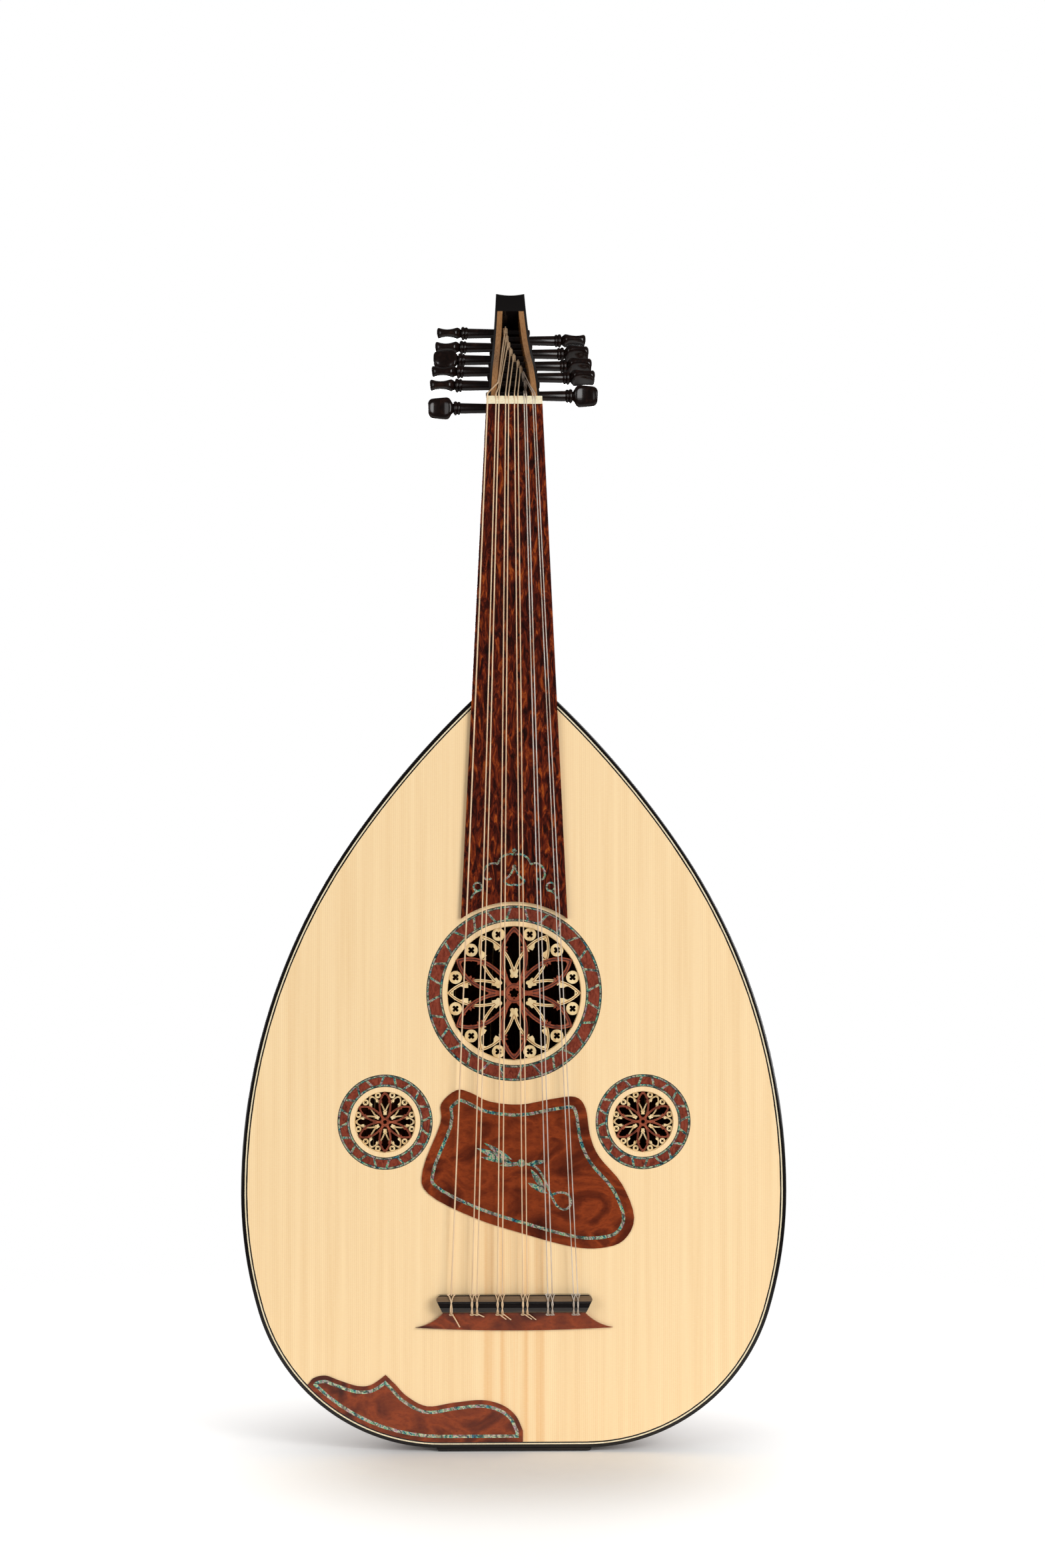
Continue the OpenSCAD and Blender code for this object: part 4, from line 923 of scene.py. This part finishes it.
class OUD_OT_pegs(bpy.types.Operator):
    """Turned pegs and the strings wound on them"""
    bl_idname = "oud.pegs"
    bl_label = "Pegs"

    def execute(self, context):
        sizes = context.scene.oud_pegs
        wood = gloss_wood("rosewood_turned_and_waxed", [
            (0.3, "#0b0605"), (0.55, "#180d0a"), (0.75, "#2a1811")], (5, 5, 5),
            roughness=0.2, coat=0.2, wander=1.5)
        strings = (wound_string("overspun_string_coil", context.scene.oud_finish.gut[:]),
                   clear_nylon("nylon_string_coil", linear("#efe4d6")))
        for i in range(PEG_COUNT):
            half = PEGBOX_HALF - (PEG_START + PEG_PITCH * i) * math.sin(math.radians(WALL_LEAN))
            low, high = -half - PEG_TIP, half + PEG_REACH
            tip_r = PEG_R + PEG_CONE * (low - half)
            top_r = PEG_R + PEG_CONE * (high - half)
            shaft = [(low, tip_r * 0.4), (low + 0.1, tip_r * 0.75), (low + 0.5, tip_r), (high, top_r)]
            collar = [spot for up, centre_r, r in COLLAR_BEADS for spot in bead(high + up, centre_r, r)]
            collar += [(high + up, r) for up, r in COLLAR_END]
            knob = knob_rings(sizes.knob_length / MM, KNOB_TURN[i], high + COLLAR_LENGTH)
            points, faces = lofts([turned(shaft + collar), knob])
            place = peg_frame(i)
            peg = piece(f"turned_peg_{i + 1}", [place @ Vector(p) for p in points], faces, wood,
                        f"peg_body_{i + 1}", 50)
            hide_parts(f"peg_{i + 1}")
            self.wind(i, sizes.turns, strings)
        return {"FINISHED"}

    @staticmethod
    def wind(i, turns, strings):
        """Helical coil where the CAD coil lies, as wide and as thick."""
        j = PEG_OF.index(i)
        wound = j < WOUND_STRINGS
        lo, hi = (Vector(corner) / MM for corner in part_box(f"winding_{i + 1}"))
        r = STRING_R[j]
        middle, ring_r = (lo + hi) / 2, (hi.y - lo.y) / 2 - r
        width = hi.x - lo.x - 2 * r
        steps = turns * 28
        route = []
        for k in range(steps + 1):
            a = 2 * math.pi * turns * k / steps
            route.append((lo.x + r + width * k / steps, middle.y + ring_r * math.cos(a),
                          middle.z + ring_r * math.sin(a)))
        coil = string_line(f"coil_{i + 1}", [route], r, strings[0 if wound else 1], f"peg_body_{i + 1}")
        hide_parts(f"winding_{i + 1}")


# Height over the soundboard of the bridge bar's skin, from its front edge to its rear, as (z, y)
BAR_SKIN = ((-584.5, -6.6), (-585.4, -7.5), (-588, -9.3), (-590.2, -9.7), (-592.8, -10.0), (-595.4, -9.3),
            (-597.1, -7.2), (-597.6, -5.6))
# Where each loose end lies, from its knot, across and down; the nylon ones are cut short
LOOSE_ENDS = ((5.6, -8.6), (3.3, -0.4), (4.7, -1.9), (5.7, -3.6), (5.8, -3.9), (5.9, -3.6), (5.8, -3.9),
              (1.2, -1.0), (1.4, -0.8), (1.2, -1.0), (1.5, -0.7))


class OUD_OT_strings(bpy.types.Operator):
    """Eleven strings with their ties on the bridge"""
    bl_idname = "oud.strings"
    bl_label = "Strings"

    @staticmethod
    def wall_rest(j):
        """Point where an outer string bends over the front edge of its wall."""
        s, gap = WALL_REST[j]
        side = math.copysign(1, STRING_NUT_X[j])
        start, tilt = math.radians(TILT_NUT), math.radians(TILT_NUT) + s / BEND_R
        bend = BEND_R + STRING_R[j] + STRING_GAP
        half = PEGBOX_HALF - s * math.sin(math.radians(WALL_LEAN))
        return Vector((side * (half - WALL_T - STRING_R[j] - gap),
                       BEND_R * math.cos(start) - bend * math.cos(tilt),
                       NUT_LENGTH - BEND_R * math.sin(start) + bend * math.sin(tilt)))

    def speaking(self, j):
        """Route from the bridge hole over the nut to the peg."""
        lo, hi = (Vector(corner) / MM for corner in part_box(f"winding_{PEG_OF[j] + 1}"))
        centre = (lo + hi) / 2
        corners = [Vector((STRING_NUT_X[j], NUT_Y, 0)), Vector((STRING_NUT_X[j], NUT_Y, CROWN_Z))]
        if j in WALL_REST:
            corners.append(self.wall_rest(j))
        # The last run touches the coil from the front
        away = (centre - corners[-1]).yz
        reach = (hi.y - lo.y) / 2 + STRING_R[j] + STRING_GAP
        lean = math.asin(reach / away.length)
        run = away.normalized()
        turn = Vector((math.cos(lean) * run.x - math.sin(lean) * run.y,
                       math.sin(lean) * run.x + math.cos(lean) * run.y))
        touch = turn * math.sqrt(away.length_squared - reach * reach)
        corners.append(Vector((centre.x, corners[-1].y + touch.x, corners[-1].z + touch.y)))
        x = STRING_BRIDGE_X[j]
        return [(x, HOLE_Y, BAR_Z - 0.5), (x, HOLE_Y, BAR_Z + 0.3)] + rounded(corners, BEND_REACH)

    @staticmethod
    def tie(j):
        """Routes of the two twisted strands over the bar, and of the knot and loose end."""
        x, r = STRING_BRIDGE_X[j], STRING_R[j]
        wide = 2.1 if j == 0 else 1.25
        twists = 1.0 if j == 0 else 1.75
        skin = smooth_route([(0, y, z) for z, y in BAR_SKIN], 6)
        strands = []
        for side in (1, -1):
            route = []
            for k, spot in enumerate(skin):
                t = k / (len(skin) - 1)
                # The strands start apart at the front edge and close into a twist
                spread = wide * max(0.0, 1 - t / 0.28) ** 1.3
                a = math.pi * twists * 2 * max(0.0, t - 0.16)
                across = side * (spread + r * 1.05 * math.cos(a))
                lift = r * 0.95 * side * math.sin(a) * (1 - spread / wide)
                route.append((x + across, spot.y - r - lift, spot.z))
            # Under the string at the front, down to the hole's height
            start = [(x + side * wide * 0.5, HOLE_Y - 0.5, BAR_Z + 0.75),
                     (x + side * wide * 0.9, HOLE_Y - 0.9, BAR_Z + 0.6)]
            strands.append(start + route)
        # The knot is one flat loop and a quarter behind the bar
        rear = BAR_Z - BAR_LENGTH
        knot = []
        for k in range(15):
            a = 2 * math.pi * k / 12
            knot.append((x + 1.25 * math.cos(a) * 0.9, -5.6 - r * math.sin(a),
                         rear - 0.9 + 0.55 * math.sin(a)))
        dx, dz = LOOSE_ENDS[j]
        z0 = rear - 0.6
        loose = smooth_route([(x - 0.5, -6.4, z0 + 1.2), (x + 0.4, -6.6, z0 + 0.4),
                              (x + 0.3 + dx * 0.45, -5.9, z0 + dz * 0.4),
                              (x + dx, -5.2 + 0.18 * -dz * 0.5, z0 + dz)], 5)
        return strands + [knot, loose]

    def execute(self, context):
        wound = wound_string("overspun_string", context.scene.oud_finish.gut[:])
        nylon = clear_nylon("nylon_string", linear("#f0e6da"))
        courses = ((0,), (1, 2), (3, 4), (5, 6), (7, 8), (9, 10))
        for k, course in enumerate(courses):
            over = course[0] < WOUND_STRINGS
            routes = [self.speaking(j) for j in course]
            ties = [route for j in course for route in self.tie(j)]
            material = wound if over else nylon
            run = string_line(f"strings_{k + 1}", routes, STRING_R[course[0]], material)
            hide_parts(f"string_course_{k + 1}")
            string_line(f"ties_{k + 1}", ties, STRING_R[course[0]] * TIE_SHARE, material)
        return {"FINISHED"}


class OUD_OT_stage(bpy.types.Operator):
    """Pale floor, soft light and camera"""
    bl_idname = "oud.stage"
    bl_label = "Stage"

    @staticmethod
    def lamp(name, power, place, target, size):
        """Soft rectangular light aimed at a point."""
        light = bpy.data.lights.new(name, "AREA")
        light.shape, light.size, light.size_y = "RECTANGLE", size[0], size[1]
        light.energy = power
        made = bpy.data.objects.new(name, light)
        made.location = place
        made.rotation_euler = (Vector(target) - Vector(place)).to_track_quat("-Z", "Y").to_euler()
        bpy.context.scene.collection.objects.link(made)

    def execute(self, context):
        stage, scene = context.scene.oud_stage, context.scene
        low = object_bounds()[0]
        turns = [2 * math.pi * k / FLOOR_SIDES for k in range(FLOOR_SIDES)]
        rim = [(FLOOR_R * math.cos(a), FLOOR_R * math.sin(a), 0) for a in turns]
        mesh = bpy.data.meshes.new("floor")
        mesh.from_pydata(rim, [], [list(range(FLOOR_SIDES))])
        mesh.materials.append(pale_floor("matt_painted_floor", linear("#f7f6f4"), FLOOR_R))
        floor = bpy.data.objects.new("floor", mesh)
        floor.location = (0, 0, low[2] - FLOOR_DROP)
        scene.collection.objects.link(floor)
        floor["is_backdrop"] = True
        self.lamp("key_light", stage.key, *KEY_LAMP)
        self.lamp("fill_light", stage.fill, *FILL_LAMP)
        self.lamp("back_light", stage.fill * BACK_SHARE, *BACK_LAMP)
        world = bpy.data.worlds.new("plain_surround")
        world.use_nodes = True
        world.node_tree.nodes.clear()
        tree = world.node_tree
        # White behind the instrument, dimmer as a light and darker still in a polish, as black flags
        # beside the camera would make it
        seen = add(tree, "ShaderNodeLightPath")
        flagged = spread(tree, (seen, "Is Glossy Ray"), 0.0, 1.0, stage.sky, stage.sky * SKY_IN_POLISH)
        dim = add(tree, "ShaderNodeBackground", {"Color": linear("#ffffff"), "Strength": (flagged, 0)})
        white = add(tree, "ShaderNodeBackground", {"Color": linear("#ffffff"), "Strength": 1.0})
        both = add(tree, "ShaderNodeMixShader", {0: (seen, "Is Camera Ray"), 1: (dim, 0), 2: (white, 0)})
        add(tree, "ShaderNodeOutputWorld", {"Surface": (both, 0)})
        scene.world = world
        scene.view_settings.view_transform = "Standard"
        camera = bpy.data.cameras.new("camera")
        camera.sensor_fit, camera.sensor_height = "VERTICAL", SENSOR
        camera.lens = SENSOR * stage.distance / VIEW_HEIGHT
        made = bpy.data.objects.new("camera", camera)
        made.location = (CAMERA_X, -stage.distance, VIEW_Z)
        aim = Vector((AIM_X, 0, VIEW_Z))
        made.rotation_euler = (aim - made.location).to_track_quat("-Z", "Y").to_euler()
        scene.collection.objects.link(made)
        scene.camera = made
        return {"FINISHED"}


OPERATORS = (OUD_OT_soundboard, OUD_OT_edging, OUD_OT_bowl, OUD_OT_roses, OUD_OT_rosettes, OUD_OT_guards,
             OUD_OT_neck, OUD_OT_pegbox, OUD_OT_pegs, OUD_OT_strings, OUD_OT_stage)


class OUD_PT_workshop(bpy.types.Panel):
    """Pieces and finishes of the oud"""
    bl_label = "Oud"
    bl_space_type = "VIEW_3D"
    bl_region_type = "UI"
    bl_category = "Oud"

    def draw(self, context):
        for group in (context.scene.oud_finish, context.scene.oud_pegs, context.scene.oud_stage):
            box = self.layout.box()
            for name in type(group).__annotations__:
                box.prop(group, name)
        for operator in OPERATORS:
            self.layout.operator(operator.bl_idname)


GROUPS = {"oud_finish": OudFinish, "oud_pegs": OudPegs, "oud_stage": OudStage}
CLASSES = (*GROUPS.values(), *OPERATORS, OUD_PT_workshop)


def register():
    for cls in CLASSES:
        bpy.utils.register_class(cls)
    for name, group in GROUPS.items():
        setattr(bpy.types.Scene, name, PointerProperty(type=group))


def unregister():
    for name in GROUPS:
        delattr(bpy.types.Scene, name)
    for cls in reversed(CLASSES):
        bpy.utils.unregister_class(cls)


def main():
    register()
    for operator in OPERATORS:
        getattr(bpy.ops.oud, operator.bl_idname.split(".")[1])()


if __name__ == "__main__":
    main()
